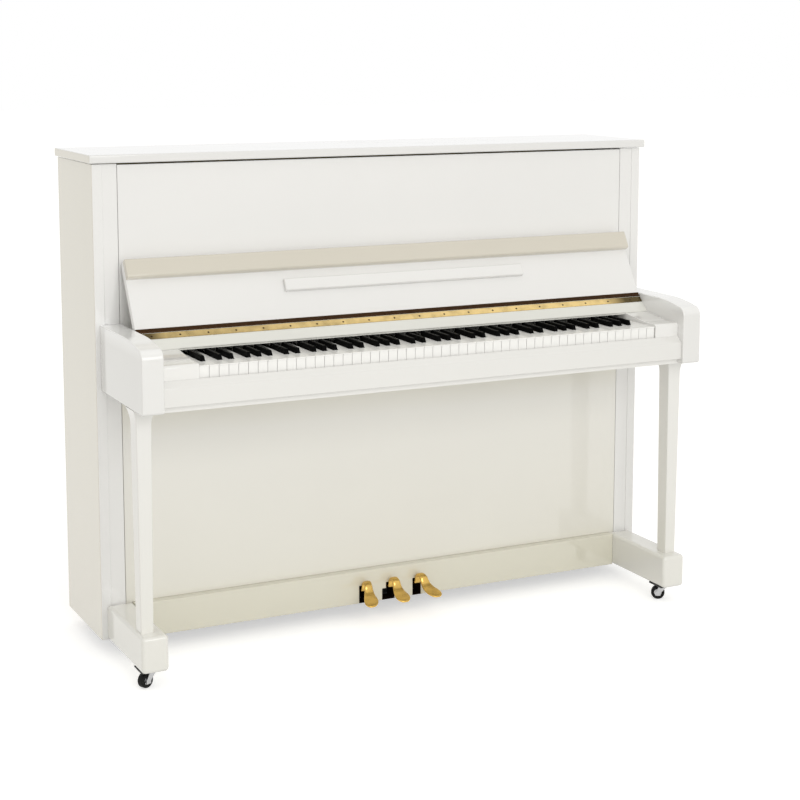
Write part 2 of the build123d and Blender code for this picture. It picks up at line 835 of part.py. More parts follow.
# Hammers lean back on the rest rail and turn about the main rail
hammer_plane = along_x((0, hammer_pivot_y, hammer_pivot_z), -hammer_rest, hand=-1)
with BuildPart() as hammer:
    with BuildSketch(hammer_plane):
        with BuildLine():
            Polyline(
                (hammer_length, hammer_reach),
                (hammer_length + hammer_round, hammer_reach - hammer_round),
                (hammer_length + hammer_round / 2, -hammer_tail),
                (hammer_length - hammer_round / 2, -hammer_tail),
                (hammer_length - hammer_round, hammer_reach - hammer_round),
                close=True,
            )
        make_face()
    extrude(amount=hammer_thickness / 2, both=True)
    with BuildSketch(hammer_plane):
        with BuildLine():
            Polyline(
                (0, -butt_radius),
                (0, butt_radius),
                (hammer_length, shank_width / 2),
                (hammer_length, -shank_width / 2),
                close=True,
            )
        make_face()
    extrude(amount=shank_width / 2, both=True)

for note, name in enumerate(note_names):
    same_note = [i for i in range(note_count) if octave_and_note(i)[1] == note]
    with BuildPart() as hammers:
        with Locations(*[(tail_middle(i), 0, 0) for i in same_note]):
            add(hammer.part)
    finish(hammers, f"hammer_{name}")

# Action frame: two brackets on the keybed that carry the main rail and the hammer rest rail
rest_share = (rest_rail_rise - rest_rail_size / 2) / hammer_length
rest_drop = butt_radius + (shank_width / 2 - butt_radius) * rest_share + running_gap
rest_rail = hammer_plane.from_local_coords((rest_rail_rise, -rest_drop, 0))
rail_half = keyboard_half + bracket_reach
with BuildPart() as action_frame:
    with BuildSketch(Plane.YZ.offset(keyboard_offset - rail_half)):
        with Locations((main_rail_y, hammer_pivot_z)):
            Rectangle(main_rail_depth, main_rail_height, align=(Align.MIN, Align.CENTER))
    extrude(amount=2 * rail_half)
    with BuildSketch(hammer_plane.offset(-keyboard_offset - rail_half)):
        with Locations((rest_rail_rise, -rest_drop)):
            Rectangle(rest_rail_size, rest_rail_size, align=(Align.CENTER, Align.MAX))
    extrude(amount=2 * rail_half)
    for end in (-rail_half - bracket_thickness, rail_half):
        with BuildSketch(Plane.YZ.offset(keyboard_offset + end)):
            with BuildLine():
                Polyline(
                    (main_rail_y + main_rail_depth, keybed_top),
                    (main_rail_y + main_rail_depth, hammer_pivot_z + main_rail_height),
                    (rest_rail.Y + rest_rail_size, rest_rail.Z + rest_rail_size),
                    (rest_rail.Y - 2 * rest_rail_size, rest_rail.Z + rest_rail_size),
                    (rest_rail.Y - 2 * rest_rail_size, rest_rail.Z - 2 * rest_rail_size),
                    (main_rail_y + main_rail_depth - bracket_width, keybed_top),
                    close=True,
                )
            make_face()
        extrude(amount=bracket_thickness)
finish(action_frame, "action_frame")

# Pedals: a lever with a swan neck seen from the side, cut to a neck and a round paddle seen from above
paddle_y = plinth_front_y - pedal_reach + pedal_paddle
neck_y = plinth_front_y - (swan_near + swan_far) / 2
pedal_half = pedal_paddle + pedal_splay
for place, label in ((-1, "soft_pedal"), (0, "practice_pedal"), (1, "sustain_pedal")):
    middle = place * pedal_spacing
    with BuildPart() as pedal:
        with BuildSketch(Plane.YZ.offset(middle - pedal_half)):
            with BuildLine():
                lever = Line((pedal_pin_y, pedal_height), (plinth_front_y + swan_start, pedal_exit))
                foot = TangentArc(
                    lever @ 1,
                    (plinth_front_y - swan_near, pedal_exit + swan_height),
                    tangent=lever % 1,
                )
                crest = TangentArc(
                    foot @ 1,
                    (plinth_front_y - swan_far, pedal_exit + swan_height),
                    tangent=foot % 1,
                )
                descent = TangentArc(
                    crest @ 1,
                    (plinth_front_y - paddle_start, paddle_height),
                    tangent=crest % 1,
                )
                TangentArc(descent @ 1, (plinth_front_y - pedal_reach, pedal_tip), tangent=descent % 1)
            trace(line_width=pedal_thickness)
            with Locations((pedal_pin_y, pedal_height)):
                RegularPolygon(pedal_eye, knuckle_sides)
        extrude(amount=2 * pedal_half)
        with BuildSketch(Plane.XY):
            with Locations((middle + place * pedal_splay, paddle_y)):
                Circle(pedal_paddle)
            with Locations((middle, neck_y)):
                Circle(pedal_neck / 2)
            make_hull()
            with Locations((middle, neck_y)):
                Rectangle(
                    pedal_neck,
                    pedal_pin_y + pedal_eye - neck_y,
                    align=(Align.CENTER, Align.MIN),
                )
        extrude(amount=case_height, mode=Mode.INTERSECT)
        with BuildSketch(Plane.YZ.offset(middle - pedal_half)):
            with Locations((pedal_pin_y, pedal_height)):
                Circle(pedal_pin + pin_gap)
        extrude(amount=2 * pedal_half, mode=Mode.SUBTRACT)
    finish(pedal, label)

# Pedal brackets on the bottom board, each with its pin
cheek_bottom = base_height + board_thickness
cheek_half = pedal_neck / 2 + running_gap + bracket_plate
with BuildPart() as pedal_brackets:
    with Locations(*[(n * pedal_spacing, pedal_pin_y, cheek_bottom) for n in (-1, 0, 1)]):
        Box(
            2 * cheek_half,
            4 * pedal_eye,
            bracket_plate,
            align=(Align.CENTER, Align.CENTER, Align.MIN),
        )
    for middle in [n * pedal_spacing for n in (-1, 0, 1)]:
        for start in (middle - cheek_half, middle + cheek_half - bracket_plate):
            with BuildSketch(Plane.YZ.offset(start)):
                with Locations((pedal_pin_y, cheek_bottom)):
                    Trapezoid(
                        4 * pedal_eye,
                        pedal_height + pedal_eye - cheek_bottom,
                        cheek_slope,
                        align=(Align.CENTER, Align.MIN),
                    )
            extrude(amount=bracket_plate)
        with BuildSketch(Plane.YZ.offset(middle - cheek_half)):
            with Locations((pedal_pin_y, pedal_height)):
                RegularPolygon(pedal_pin, knuckle_sides)
        extrude(amount=2 * cheek_half)
finish(pedal_brackets, "pedal_brackets")

# Casters: swivelling forks under the toe blocks, rigid brackets under the back frame
toe_middle = (toe_inner + toe_outer) / 2
front_caster_y = toe_front_y + front_caster_setback
rear_caster_x = side_outer - rear_caster_inset
rear_caster_y = back_y - post_depth / 2
plate_under = base_height - caster_plate
disc_top = plate_under - running_gap
cheek_inner = wheel_width / 2 + fork_gap
cheek_outer = cheek_inner + fork_sheet


def wheel_side(place, turn, trail):
    """A plane through the wheel's middle, its x axis along the trail and its y axis up."""
    heading = math.radians(turn)
    ahead = Vector(math.cos(heading), math.sin(heading), 0)
    return Plane(Vector(*place, 0) + ahead * trail, x_dir=ahead, z_dir=ahead.cross(Vector(0, 0, 1)))


def caster_cheeks(side, trail, top, head):
    """Two cheeks and the axle between them, round the wheel."""
    with BuildPart() as cheeks:
        for start in (-cheek_outer, cheek_inner):
            with BuildSketch(side.offset(start)):
                with BuildLine():
                    Polyline(
                        (-fork_foot, wheel_radius - fork_foot),
                        (fork_foot, wheel_radius - fork_foot),
                        (fork_foot, wheel_radius),
                        (head / 2 - trail, top),
                        (-head / 2 - trail, top),
                        (-fork_foot, wheel_radius),
                        close=True,
                    )
                make_face()
            extrude(amount=fork_sheet)
        with BuildSketch(side.offset(-cheek_outer)):
            with Locations((0, wheel_radius)):
                RegularPolygon(axle_radius, knuckle_sides)
        extrude(amount=2 * cheek_outer)
    return cheeks.part


def caster_wheel(side):
    with BuildPart() as wheel:
        with BuildSketch(side.offset(-wheel_width / 2)):
            with Locations((0, wheel_radius)):
                Circle(wheel_radius)
                RegularPolygon(axle_radius + pin_gap, knuckle_sides, major_radius=False, mode=Mode.SUBTRACT)
        extrude(amount=wheel_width)
    return wheel


for hand, end in ((-1, "left"), (1, "right")):
    place = (hand * toe_middle, front_caster_y)
    wheel_plane = wheel_side(place, caster_turn[end], caster_trail)
    with BuildPart() as fork:
        with BuildSketch(Plane.XY.offset(disc_top - fork_sheet)):
            with Locations(place):
                Circle(fork_disc)
        extrude(amount=fork_sheet)
        add(caster_cheeks(wheel_plane, caster_trail, disc_top - fork_sheet / 2, fork_disc))
    finish(fork, f"{end}_front_fork")
    finish(caster_wheel(wheel_plane), f"{end}_front_wheel")
    rear_plane = wheel_side((hand * rear_caster_x, rear_caster_y), 0, 0)
    finish(caster_wheel(rear_plane), f"{end}_rear_wheel")

with BuildPart() as caster_plates:
    for hand in (-1, 1):
        with BuildSketch(Plane.XY.offset(plate_under)) as seats:
            with Locations((hand * toe_middle, front_caster_y), (hand * rear_caster_x, rear_caster_y)):
                Rectangle(caster_plate_size, caster_plate_size)
            chamfer(seats.vertices(), caster_plate_corner)
        extrude(amount=caster_plate)
        rear_plane = wheel_side((hand * rear_caster_x, rear_caster_y), 0, 0)
        add(caster_cheeks(rear_plane, 0, plate_under + fork_sheet / 2, 2 * fork_disc))
finish(caster_plates, "caster_plates")
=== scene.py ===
import json
import math

import bpy
import numpy as np
from mathutils import Matrix, Vector


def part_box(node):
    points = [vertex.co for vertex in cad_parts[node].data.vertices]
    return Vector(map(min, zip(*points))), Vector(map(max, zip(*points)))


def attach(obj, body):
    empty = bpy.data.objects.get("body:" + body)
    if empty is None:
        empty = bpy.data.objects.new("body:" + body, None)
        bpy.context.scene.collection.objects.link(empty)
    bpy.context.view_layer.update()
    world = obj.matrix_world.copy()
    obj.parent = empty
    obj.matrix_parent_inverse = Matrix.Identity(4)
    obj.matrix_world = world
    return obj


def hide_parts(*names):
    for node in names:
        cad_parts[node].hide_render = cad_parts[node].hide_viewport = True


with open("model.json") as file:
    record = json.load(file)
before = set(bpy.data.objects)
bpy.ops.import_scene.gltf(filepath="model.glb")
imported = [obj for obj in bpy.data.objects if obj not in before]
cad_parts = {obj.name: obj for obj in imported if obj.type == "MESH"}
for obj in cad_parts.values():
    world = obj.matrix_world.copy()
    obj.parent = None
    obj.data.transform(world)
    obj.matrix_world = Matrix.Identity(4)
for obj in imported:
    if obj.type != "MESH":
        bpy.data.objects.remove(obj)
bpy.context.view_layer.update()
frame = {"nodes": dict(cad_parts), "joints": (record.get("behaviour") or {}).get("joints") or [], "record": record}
scene = bpy.context.scene

mixSockets = {"share": 0, "first": 6, "second": 7, "result": 2}  # of a Mix node set to colours


class Wire:  # a shader socket that can stand in a sum
    def __init__(self, socket):
        self.socket = socket

    @staticmethod
    def node(tree, kind, settings=None, inputs=None, output=0):  # settings, then values and links
        made = tree.nodes.new("ShaderNode" + kind)
        for name, value in (settings or {}).items():
            setattr(made, name, value)
        for name, value in (inputs or {}).items():
            if isinstance(value, Wire):
                tree.links.new(value.socket, made.inputs[name])
            else:
                made.inputs[name].default_value = value
        return Wire(made.outputs[output])

    @staticmethod
    def blend(tree, share, first, second):  # a colour that goes from first to second with the share
        inputs = {mixSockets["share"]: share}
        for place, colour in (("first", first), ("second", second)):
            inputs[mixSockets[place]] = colour if isinstance(colour, Wire) else (*colour, 1)
        return Wire.node(tree, "Mix", {"data_type": "RGBA"}, inputs, mixSockets["result"])

    def math(self, operation, left, right):
        return Wire.node(self.socket.id_data, "Math", {"operation": operation}, {0: left, 1: right})

    def __add__(self, other):
        return self.math("ADD", self, other)

    def __sub__(self, other):
        return self.math("SUBTRACT", self, other)

    def __rsub__(self, other):
        return self.math("SUBTRACT", other, self)

    def __mul__(self, other):
        return self.math("MULTIPLY", self, other)

    def __abs__(self):
        return self.math("ABSOLUTE", self, 0)

    def __gt__(self, other):
        return self.math("GREATER_THAN", self, other)

    def __lt__(self, other):
        return self.math("LESS_THAN", self, other)

    __radd__ = __add__
    __rmul__ = __mul__

    def most(self, other):  # the larger of two values
        return self.math("MAXIMUM", self, other)

    def spread(self, low, high):  # the stretch from low to high opened to 0..1, held at both ends
        ends = {"Value": self, "From Min": low, "From Max": high}
        return Wire.node(self.socket.id_data, "MapRange", {"clamp": True}, ends)


class Finish:  # one material: a Principled shader and what feeds it
    def __init__(self, name, colour, **sockets):
        self.material = bpy.data.materials.new(name)
        self.material.use_nodes = True
        self.tree = self.material.node_tree
        self.shader = self.tree.nodes["Principled BSDF"]
        self.shader.inputs["Base Color"].default_value = (*colour, 1)
        for socket, value in sockets.items():
            self.shader.inputs[socket.replace("_", " ")].default_value = value
        self.where = self.add("TexCoord", output="Object")

    def add(self, kind, settings=None, inputs=None, output=0):
        return Wire.node(self.tree, kind, settings, inputs, output)

    def feed(self, socket, wire):
        self.tree.links.new(wire.socket, self.shader.inputs[socket])

    def along(self, axis):  # the place along one axis, in metres
        return self.add("SeparateXYZ", inputs={"Vector": self.where}, output=axis)

    def stretched(self, scale, turn=(0, 0, 0)):
        return self.add("Mapping", inputs={"Vector": self.where, "Rotation": turn, "Scale": scale})

    def noise(self, scale, detail=2.0, where=None, distortion=0.0):
        inputs = {"Vector": where or self.where, "Scale": scale}
        inputs |= {"Detail": detail, "Distortion": distortion}
        return self.add("TexNoise", inputs=inputs)

    def mix(self, share, first, second):
        return Wire.blend(self.tree, share, first, second)

    def bump(self, height, strength, depth):
        inputs = {"Height": height, "Strength": strength, "Distance": depth}
        self.feed("Normal", self.add("Bump", inputs=inputs))


def shade(colour, factor):  # the colour, darker by a factor
    return tuple(c * factor for c in colour)


polish = {"colour": (0.865, 0.86, 0.85), "gloss": 0.07, "coat": 0.5, "coatGloss": 0.03}
polish |= {"drift": 0.02, "driftScale": 2.3, "driftSpan": (0.35, 0.65)}
polish |= {"smear": 0.10, "smearScale": (3, 3, 14), "smearBend": 0.4, "smearSpan": (0.45, 0.75)}
polish |= {"peel": 0.05, "peelScale": 120, "peelDepth": 0.0004}
shadeHeights = {"down": (0.95, 0.05), "up": (0.46, 0.60)}  # heights where the painted shade starts and where it is full


def shadeTowardsFloor(coat):  # painted shade: the lacquer turns darker and warmer towards the floor
    return coat.along("Z").spread(*shadeHeights["down"])


def shadeUnderKeys(coat):  # painted shade on the lower panel: also darker and warmer towards the keyboard above it
    return shadeTowardsFloor(coat).most(coat.along("Z").spread(*shadeHeights["up"]))


def lacquer(name, paintedTone, share=shadeTowardsFloor, colour=polish["colour"]):
    # thick polish that turns from its colour to a second tone by a share, which paints shade on it (light on the
    # arms' tops), with smears and orange peel
    coat = Finish(name, colour, Coat_Weight=polish["coat"], Coat_Roughness=polish["coatGloss"])
    toned = coat.mix(share(coat), colour, paintedTone)
    drift = coat.noise(polish["driftScale"], 3).spread(*polish["driftSpan"])
    coat.feed("Base Color", coat.mix(drift * polish["drift"], toned, (0, 0, 0)))
    streaks = coat.stretched(polish["smearScale"])
    smear = coat.noise(1, 4, streaks, polish["smearBend"]).spread(*polish["smearSpan"])
    coat.feed("Roughness", polish["gloss"] + polish["smear"] * smear)
    coat.bump(coat.noise(polish["peelScale"], 2), polish["peel"], polish["peelDepth"])
    return coat.material


timber = {"along": 1.2, "across": 26, "bend": 1.2, "lineSpan": (0.3, 0.72), "lineRough": 0.2}
timber |= {"poreScale": 9, "poreSpan": (0.52, 0.7), "pores": 0.5, "poreShade": 0.6}
timber |= {"lineRise": 0.4, "relief": 0.25, "depth": 0.0006}


def wood(name, light, dark, grain, turn=(0, 0, 0), gloss=0.45):  # growth lines along the grain axis
    plank = Finish(name, light)
    squeeze = tuple(timber["along" if axis == grain else "across"] for axis in "xyz")
    lines = plank.noise(1, 5, plank.stretched(squeeze, turn), timber["bend"])
    lines = lines.spread(*timber["lineSpan"])
    pores = plank.noise(timber["poreScale"], 3, plank.stretched(squeeze, turn))
    pores = pores.spread(*timber["poreSpan"])
    toned = plank.mix(lines, light, dark)
    poreColour = shade(dark, timber["poreShade"])
    plank.feed("Base Color", plank.mix(pores * timber["pores"], toned, poreColour))
    plank.feed("Roughness", gloss + timber["lineRough"] * lines)
    plank.bump(lines * timber["lineRise"] - pores, timber["relief"], timber["depth"])
    return plank.material


metalwork = {"tarnishScale": 38, "tarnishSpan": (0.42, 0.72), "tarnish": 0.72, "stain": 0.12}
metalwork |= {"marks": (60, 900, 900), "gloss": 0.12, "tarnishRough": 0.16, "markRough": 0.06}
metalwork |= {"relief": 0.06, "depth": 0.0002}


def brass(name, colour, darkEnds=None):  # polished, with a thin tarnish and fine rubbing marks, and a painted dark reflection where one is given
    metal = Finish(name, colour, Metallic=1.0)
    tarnish = metal.noise(metalwork["tarnishScale"], 4).spread(*metalwork["tarnishSpan"])
    rubbed = metal.noise(1, 3, metal.stretched(metalwork["marks"]))
    toned = metal.mix(tarnish, colour, shade(colour, metalwork["tarnish"]))
    if darkEnds:
        toned = metal.mix(darkEnds(metal), toned, shade(colour, metalwork["stain"]))
    metal.feed("Base Color", toned)
    rough = metalwork["gloss"] + metalwork["tarnishRough"] * tarnish
    metal.feed("Roughness", rough + metalwork["markRough"] * rubbed)
    metal.bump(rubbed, metalwork["relief"], metalwork["depth"])
    return metal.material


moulding = {"grain": (1400, 90, 1400), "grainRough": 0.12, "grainDepth": 0.0002}
moulding |= {"cloudScale": 30, "cloudShade": 0.96, "cloudRough": 0.06}


def plastic(name, colour, gloss, grain, shine=0.5):  # moulded plastic or rubber, grained along Y
    top = Finish(name, colour, Specular_IOR_Level=shine)
    fine = top.noise(1, 3, top.stretched(moulding["grain"]))
    cloud = top.noise(moulding["cloudScale"], 2)
    top.feed("Base Color", top.mix(cloud, shade(colour, moulding["cloudShade"]), colour))
    rough = gloss + moulding["grainRough"] * fine
    top.feed("Roughness", rough + moulding["cloudRough"] * cloud)
    top.bump(fine, grain, moulding["grainDepth"])
    return top.material


paintwork = {"mottleScale": 55, "mottleShade": 0.82, "mottleRough": 0.18}
paintwork |= {"pitScale": 420, "pitDepth": 0.0004}


def paintedMetal(name, colour, gloss, metallic, cast):  # mottled, over a cast or drawn surface
    paint = Finish(name, colour, Metallic=metallic)
    mottle = paint.noise(paintwork["mottleScale"], 4)
    pits = paint.noise(paintwork["pitScale"], 3)
    paint.feed("Base Color", paint.mix(mottle, shade(colour, paintwork["mottleShade"]), colour))
    paint.feed("Roughness", gloss + paintwork["mottleRough"] * mottle)
    paint.bump(pits, cast, paintwork["pitDepth"])
    return paint.material


nap = {"scale": 650, "shade": 0.7, "roughness": 0.95, "relief": 0.6, "depth": 0.001}


def pressedFelt(name, colour, sheen=0.4, shine=0.5):  # wool, darker between its tufts
    sockets = {"Roughness": nap["roughness"], "Sheen_Weight": sheen, "Specular_IOR_Level": shine}
    cloth = Finish(name, colour, **sockets)
    tufts = cloth.noise(nap["scale"], 5)
    cloth.feed("Base Color", cloth.mix(tufts, shade(colour, nap["shade"]), colour))
    cloth.bump(tufts, nap["relief"], nap["depth"])
    return cloth.material


beech = ((0.60, 0.40, 0.22), (0.40, 0.24, 0.12))  # light and dark
aslant = (0, math.radians(-55), 0)  # the soundboard's grain

# each lacquer's second colour is a painted shade tone, reached towards the floor unless another share is given
whiteLacquer = lacquer("whiteLacquer", (0.845, 0.835, 0.785))
# a darker copy of the white lacquer for the key slip: painted shade
frontLacquer = lacquer("frontLacquer", (0.80, 0.79, 0.745), colour=(0.82, 0.815, 0.80))
panelLacquer = lacquer("panelLacquer", (0.82, 0.80, 0.72), shadeUnderKeys)
# the plinth's dark warm tone is painted shade, near full at its height
plinthLacquer = lacquer("plinthLacquer", (0.755, 0.73, 0.61))
polishedBrass = brass("polishedBrass", (0.58, 0.37, 0.12))
pedalBrass = brass("pedalBrass", (0.76, 0.49, 0.13))
# brass painted near black: painted shadow and dark reflection on the hinge's wing leaf and knuckles, and on the
# screw heads
agedBrass = brass("agedBrass", (0.055, 0.027, 0.012))
keyIvory = plastic("keyIvory", (0.90, 0.89, 0.86), 0.14, 0.03)
keyEbony = plastic("keyEbony", (0.012, 0.012, 0.013), 0.30, 0.10)
beechAlongX = wood("beechAlongX", *beech, "x")
beechAlongZ = wood("beechAlongZ", *beech, "z")
limewood = wood("limewood", (0.70, 0.54, 0.34), (0.58, 0.42, 0.25), "y")
spruce = wood("spruce", (0.78, 0.56, 0.30), (0.62, 0.41, 0.19), "z", aslant, 0.3)
bronzedIron = paintedMetal("bronzedIron", (0.62, 0.44, 0.17), 0.34, 0.55, 0.5)
blackPaint = paintedMetal("blackPaint", (0.016, 0.016, 0.017), 0.35, 0.0, 0.25)
zincPlate = paintedMetal("zincPlate", (0.62, 0.62, 0.63), 0.22, 1.0, 0.1)
copperWire = brass("copperWire", (0.60, 0.28, 0.14))
drawnSteel = paintedMetal("drawnSteel", (0.55, 0.55, 0.56), 0.25, 1.0, 0.1)
hardRubber = plastic("hardRubber", (0.010, 0.010, 0.010), 0.45, 0.3, 0.12)
hammerFelt = pressedFelt("hammerFelt", (0.86, 0.81, 0.70))
# near-black felt for the pedal slots: painted shade
blackFelt = pressedFelt("blackFelt", (0.016, 0.008, 0.004), 0.0, 0.05)
print("finishes:", len(bpy.data.materials))

slotFinish = {
    "case_lacquer": whiteLacquer,
    "key_white": keyIvory,
    "key_black": keyEbony,
    "brass": polishedBrass,
    "frame_wood": beechAlongX,
    "spruce": spruce,
    "plate_iron": bronzedIron,
    "steel": drawnSteel,
    "felt": hammerFelt,
    "caster_black": blackPaint,
    "tyre": hardRubber,
}
paintedShadeNodes = ("bottom_board", "pedal_brackets")  # behind the pedal slots: black, as painted shade
for subpart in frame["record"]["subparts"]:
    mesh = frame["nodes"][subpart["node"]].data
    mesh.materials.clear()
    dark = subpart["node"] in paintedShadeNodes
    mesh.materials.append(blackPaint if dark else slotFinish[subpart["material_slot"]])


def jointOf(body):  # the joint that carries a body
    return next(joint for joint in frame["joints"] if joint["child"] == body)


def tilted(points, origin, along, out):  # (y, z) of the origin + first * along + second * out
    points = np.asarray(points, float)
    return np.array(origin) + points[:, :1] * along + points[:, 1:] * out


def rect(low, high):  # the corners of a rectangle, round from its low one
    return np.array([(low[0], low[1]), (high[0], low[1]), (high[0], high[1]), (low[0], high[1])])


def unit(rows):  # each row divided by its length
    return rows / np.linalg.norm(rows, axis=-1, keepdims=True)


def rounded(corners, radius, steps=4):
    # each corner gives way to an arc of its radius, tangent to both legs
    corners = np.asarray(corners, float)
    radius = np.broadcast_to(np.asarray(radius, float), len(corners))[:, None]
    back, onward = unit(np.roll(corners, 1, 0) - corners), unit(np.roll(corners, -1, 0) - corners)
    half = np.arccos(np.clip((back * onward).sum(1), -1, 1))[:, None] / 2
    centre = corners + unit(back + onward) * radius / np.sin(half)
    foot = corners + back * radius / np.tan(half) - centre
    head = corners + onward * radius / np.tan(half) - centre
    turn = (np.pi - 2 * half)[:, None]
    t = np.linspace(0, 1, steps + 1)[None, :, None]
    arc = foot[:, None] * np.sin((1 - t) * turn) + head[:, None] * np.sin(t * turn)
    return (centre[:, None] + arc / np.sin(turn)).reshape(-1, 2)


def gridFaces(rows, columns):  # quads between neighbouring rings, wound to face outwards
    ring = np.arange(rows - 1)[:, None] * columns
    here, beside = ring + np.arange(columns), ring + (np.arange(columns) + 1) % columns
    quads = np.stack([here, beside, beside + columns, here + columns], -1)
    return quads.reshape(-1, 4).tolist()


def capped(rows, columns):  # a closed skin: the rings' quads and a flat face over each end
    last = (rows - 1) * columns
    ends = [list(range(columns))[::-1], list(range(last, last + columns))]
    return gridFaces(rows, columns) + ends


def slab(corners, radius, axis, start, end, edge, arcSteps=4, steps=3):
    # a rounded outline is carried along the axis, with rounded ends:
    # there it draws in by edge (1 - sin t) over a depth of edge (1 - cos t)
    corners = np.asarray(corners, float)
    radius = np.broadcast_to(np.asarray(radius, float), len(corners))
    across, up = corners[:, 0], corners[:, 1]
    area = np.dot(across, np.roll(up, -1)) - np.dot(up, np.roll(across, -1))
    if (area < 0) != (axis == "y"):
        corners, radius = corners[::-1], radius[::-1]
    leg = unit(np.roll(corners, -1, 0) - corners)
    side = 1 if axis != "y" else -1
    normal = side * np.stack([leg[:, 1], -leg[:, 0]], 1)
    before, cameFrom = np.roll(normal, 1, 0), np.roll(leg, 1, 0)
    mitre = (normal + before) / (1 + (normal * before).sum(1, keepdims=True))
    bend = cameFrom[:, 0] * leg[:, 1] - cameFrom[:, 1] * leg[:, 0]
    bulge = np.sign(side * bend)  # 1 at an outer corner, -1 at an inner one
    t = np.linspace(0, np.pi / 2, steps + 1)
    drawIn, depth = edge * (1 - np.sin(t)), edge * (1 - np.cos(t))
    along = np.concatenate([start + depth, end - depth[::-1]])
    rings = []
    for inset in np.concatenate([drawIn, drawIn[::-1]]):
        ring = corners - inset * mitre
        if arcSteps:
            ring = rounded(ring, np.maximum(radius - inset * bulge, radius / 4), arcSteps)
        rings.append(ring)
    rings = np.array(rings)
    along = np.broadcast_to(along[:, None], rings.shape[:2])
    order = {"x": (2, 0, 1), "y": (0, 2, 1), "z": (0, 1, 2)}[axis]
    layers = [rings[..., 0], rings[..., 1], along]
    verts = np.stack([layers[i] for i in order], -1).reshape(-1, 3)
    return verts, capped(*rings.shape[:2])


def turnedRound(profile, centre, axis, steps=32):
    # a (radius, height) line goes round the axis; one that starts and ends at radius 0 is closed
    axis = Vector(axis).normalized()
    first = axis.orthogonal().normalized()
    second = axis.cross(first)
    angle = np.arange(steps) * 2 * np.pi / steps
    ring = np.cos(angle)[:, None] * np.array(first) + np.sin(angle)[:, None] * np.array(second)
    profile = np.asarray(profile, float)
    verts = profile[:, 0, None, None] * ring[None] + profile[:, 1, None, None] * np.array(axis)
    return (verts + np.array(centre)).reshape(-1, 3), capped(len(profile), steps)


def rods(starts, ends, radius, sides=8):  # many straight round bars at once, one ring at each end
    starts, ends = np.asarray(starts, float), np.asarray(ends, float)
    run = unit(ends - starts)
    lyingAlongX = np.abs(run[:, :1]) > 0.9  # these take their spokes from another axis
    first = unit(np.cross(run, np.where(lyingAlongX, [[0, 1, 0]], [[1, 0, 0]])))
    second = np.cross(run, first)
    angle = np.arange(sides)[None, :, None] * 2 * np.pi / sides
    spoke = np.cos(angle) * first[:, None] + np.sin(angle) * second[:, None]
    spoke = spoke * np.broadcast_to(np.asarray(radius, float), len(starts))[:, None, None]
    verts = np.stack([starts[:, None] + spoke, ends[:, None] + spoke], 1)
    return placed(verts.reshape(len(starts), -1, 3), capped(2, sides))


def placed(spots, faces):  # one skin for every set of vertices, each set's faces counted on
    count = spots.shape[1]
    every = [[v + n * count for v in face] for n in range(len(spots)) for face in faces]
    return spots.reshape(-1, 3), every


def copied(shape, places):  # the same shape moved along X to every place
    verts, faces = shape
    offsets = np.asarray(places)[:, None] * np.array([[1.0, 0, 0]])
    return placed(verts[None] + offsets[:, None], faces)


def joined(*shapes):  # several shapes in one mesh, each one's faces counted on
    starts = np.cumsum([0] + [len(verts) for verts, _ in shapes])
    faces = [[v + start for v in face] for (_, skin), start in zip(shapes, starts) for face in skin]
    return np.concatenate([verts for verts, _ in shapes]), faces


def mirrored(shape):  # the other hand of a shape, with its faces turned back outwards
    verts, faces = shape
    return verts * (-1, 1, 1), [face[::-1] for face in faces]


def piece(name, shape, finish, body="case", stands=(), crease=38):
    # one finished object on its body; it stands for the CAD nodes that it names
    verts, faces = shape
    mesh = bpy.data.meshes.new(name)
    mesh.from_pydata(np.asarray(verts).tolist(), [], faces)
    mesh.polygons.foreach_set("use_smooth", np.ones(len(mesh.polygons), bool))
    mesh.set_sharp_from_angle(angle=math.radians(crease))
    mesh.materials.append(finish)
    made = bpy.data.objects.new(name, mesh)
    scene.collection.objects.link(made)
    made.modifiers.new("evenShading", "WEIGHTED_NORMAL").keep_sharp = True
    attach(made, body)
    if stands:
        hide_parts(*stands)
    return made


# Case
eased = 0.001  # the rounding that sandpaper leaves on an edge
plain = {"arcSteps": 1, "steps": 1}  # for shapes that are small or hidden
sideShade = {"tone": (0.775, 0.74, 0.645), "start": 0.0012, "full": 0.0004}  # painted shade tone on the outer faces, and how far inside the face it starts and is full


def shadedSides(face):  # painted shade on the outer faces that far from the middle, out to the rounding of their edges
    return lambda coat: abs(coat.along("X")).spread(face - sideShade["start"], face - sideShade["full"])


# the lid's colour is darker than the white lacquer, painted shade, and its end faces take the sides' painted shade
lid = {"nose": 0.0035, "edge": 0.003, "colour": (0.82, 0.815, 0.805)}
low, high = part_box("top_lid")
lidLacquer = lacquer("lidLacquer", sideShade["tone"], shadedSides(high.x), lid["colour"])
lidCorners = rect((low.y, low.z), (high.y, high.z))
lidRadii = [lid["nose"], eased, eased, lid["nose"]]
lidBoard = slab(lidCorners, lidRadii, "x", low.x, high.x, lid["edge"])
piece("lidBoard", lidBoard, lidLacquer, "lid", ["top_lid"])

sidePanel = {"thickness": 0.025, "pillarDepth": 0.034, "setback": 0.002, "edge": 0.0012}
sidePanel |= {"nose": 0.0025, "front": 0.0012, "inside": 0.0005}
low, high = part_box("right_side")
inner = high.x - sidePanel["thickness"]
pillarFront = low.y + sidePanel["setback"]
pillarBack = pillarFront + sidePanel["pillarDepth"]
sideCorners = [
    (high.x, low.y),
    (high.x, high.y),
    (inner, high.y),
    (inner, pillarBack),
    (low.x, pillarBack),
    (low.x, pillarFront),
    (inner, pillarFront),
    (inner, low.y),
]
front, inside = sidePanel["front"], sidePanel["inside"]
sideRadii = [sidePanel["nose"], eased, eased, inside, eased, front, inside, front]
sideLacquer = lacquer("sideLacquer", sideShade["tone"], shadedSides(high.x))
rightSide = slab(sideCorners, sideRadii, "z", low.z, high.z, sidePanel["edge"])
piece("rightSidePanel", rightSide, sideLacquer, stands=["right_side"])
piece("leftSidePanel", mirrored(rightSide), sideLacquer, stands=["left_side"])

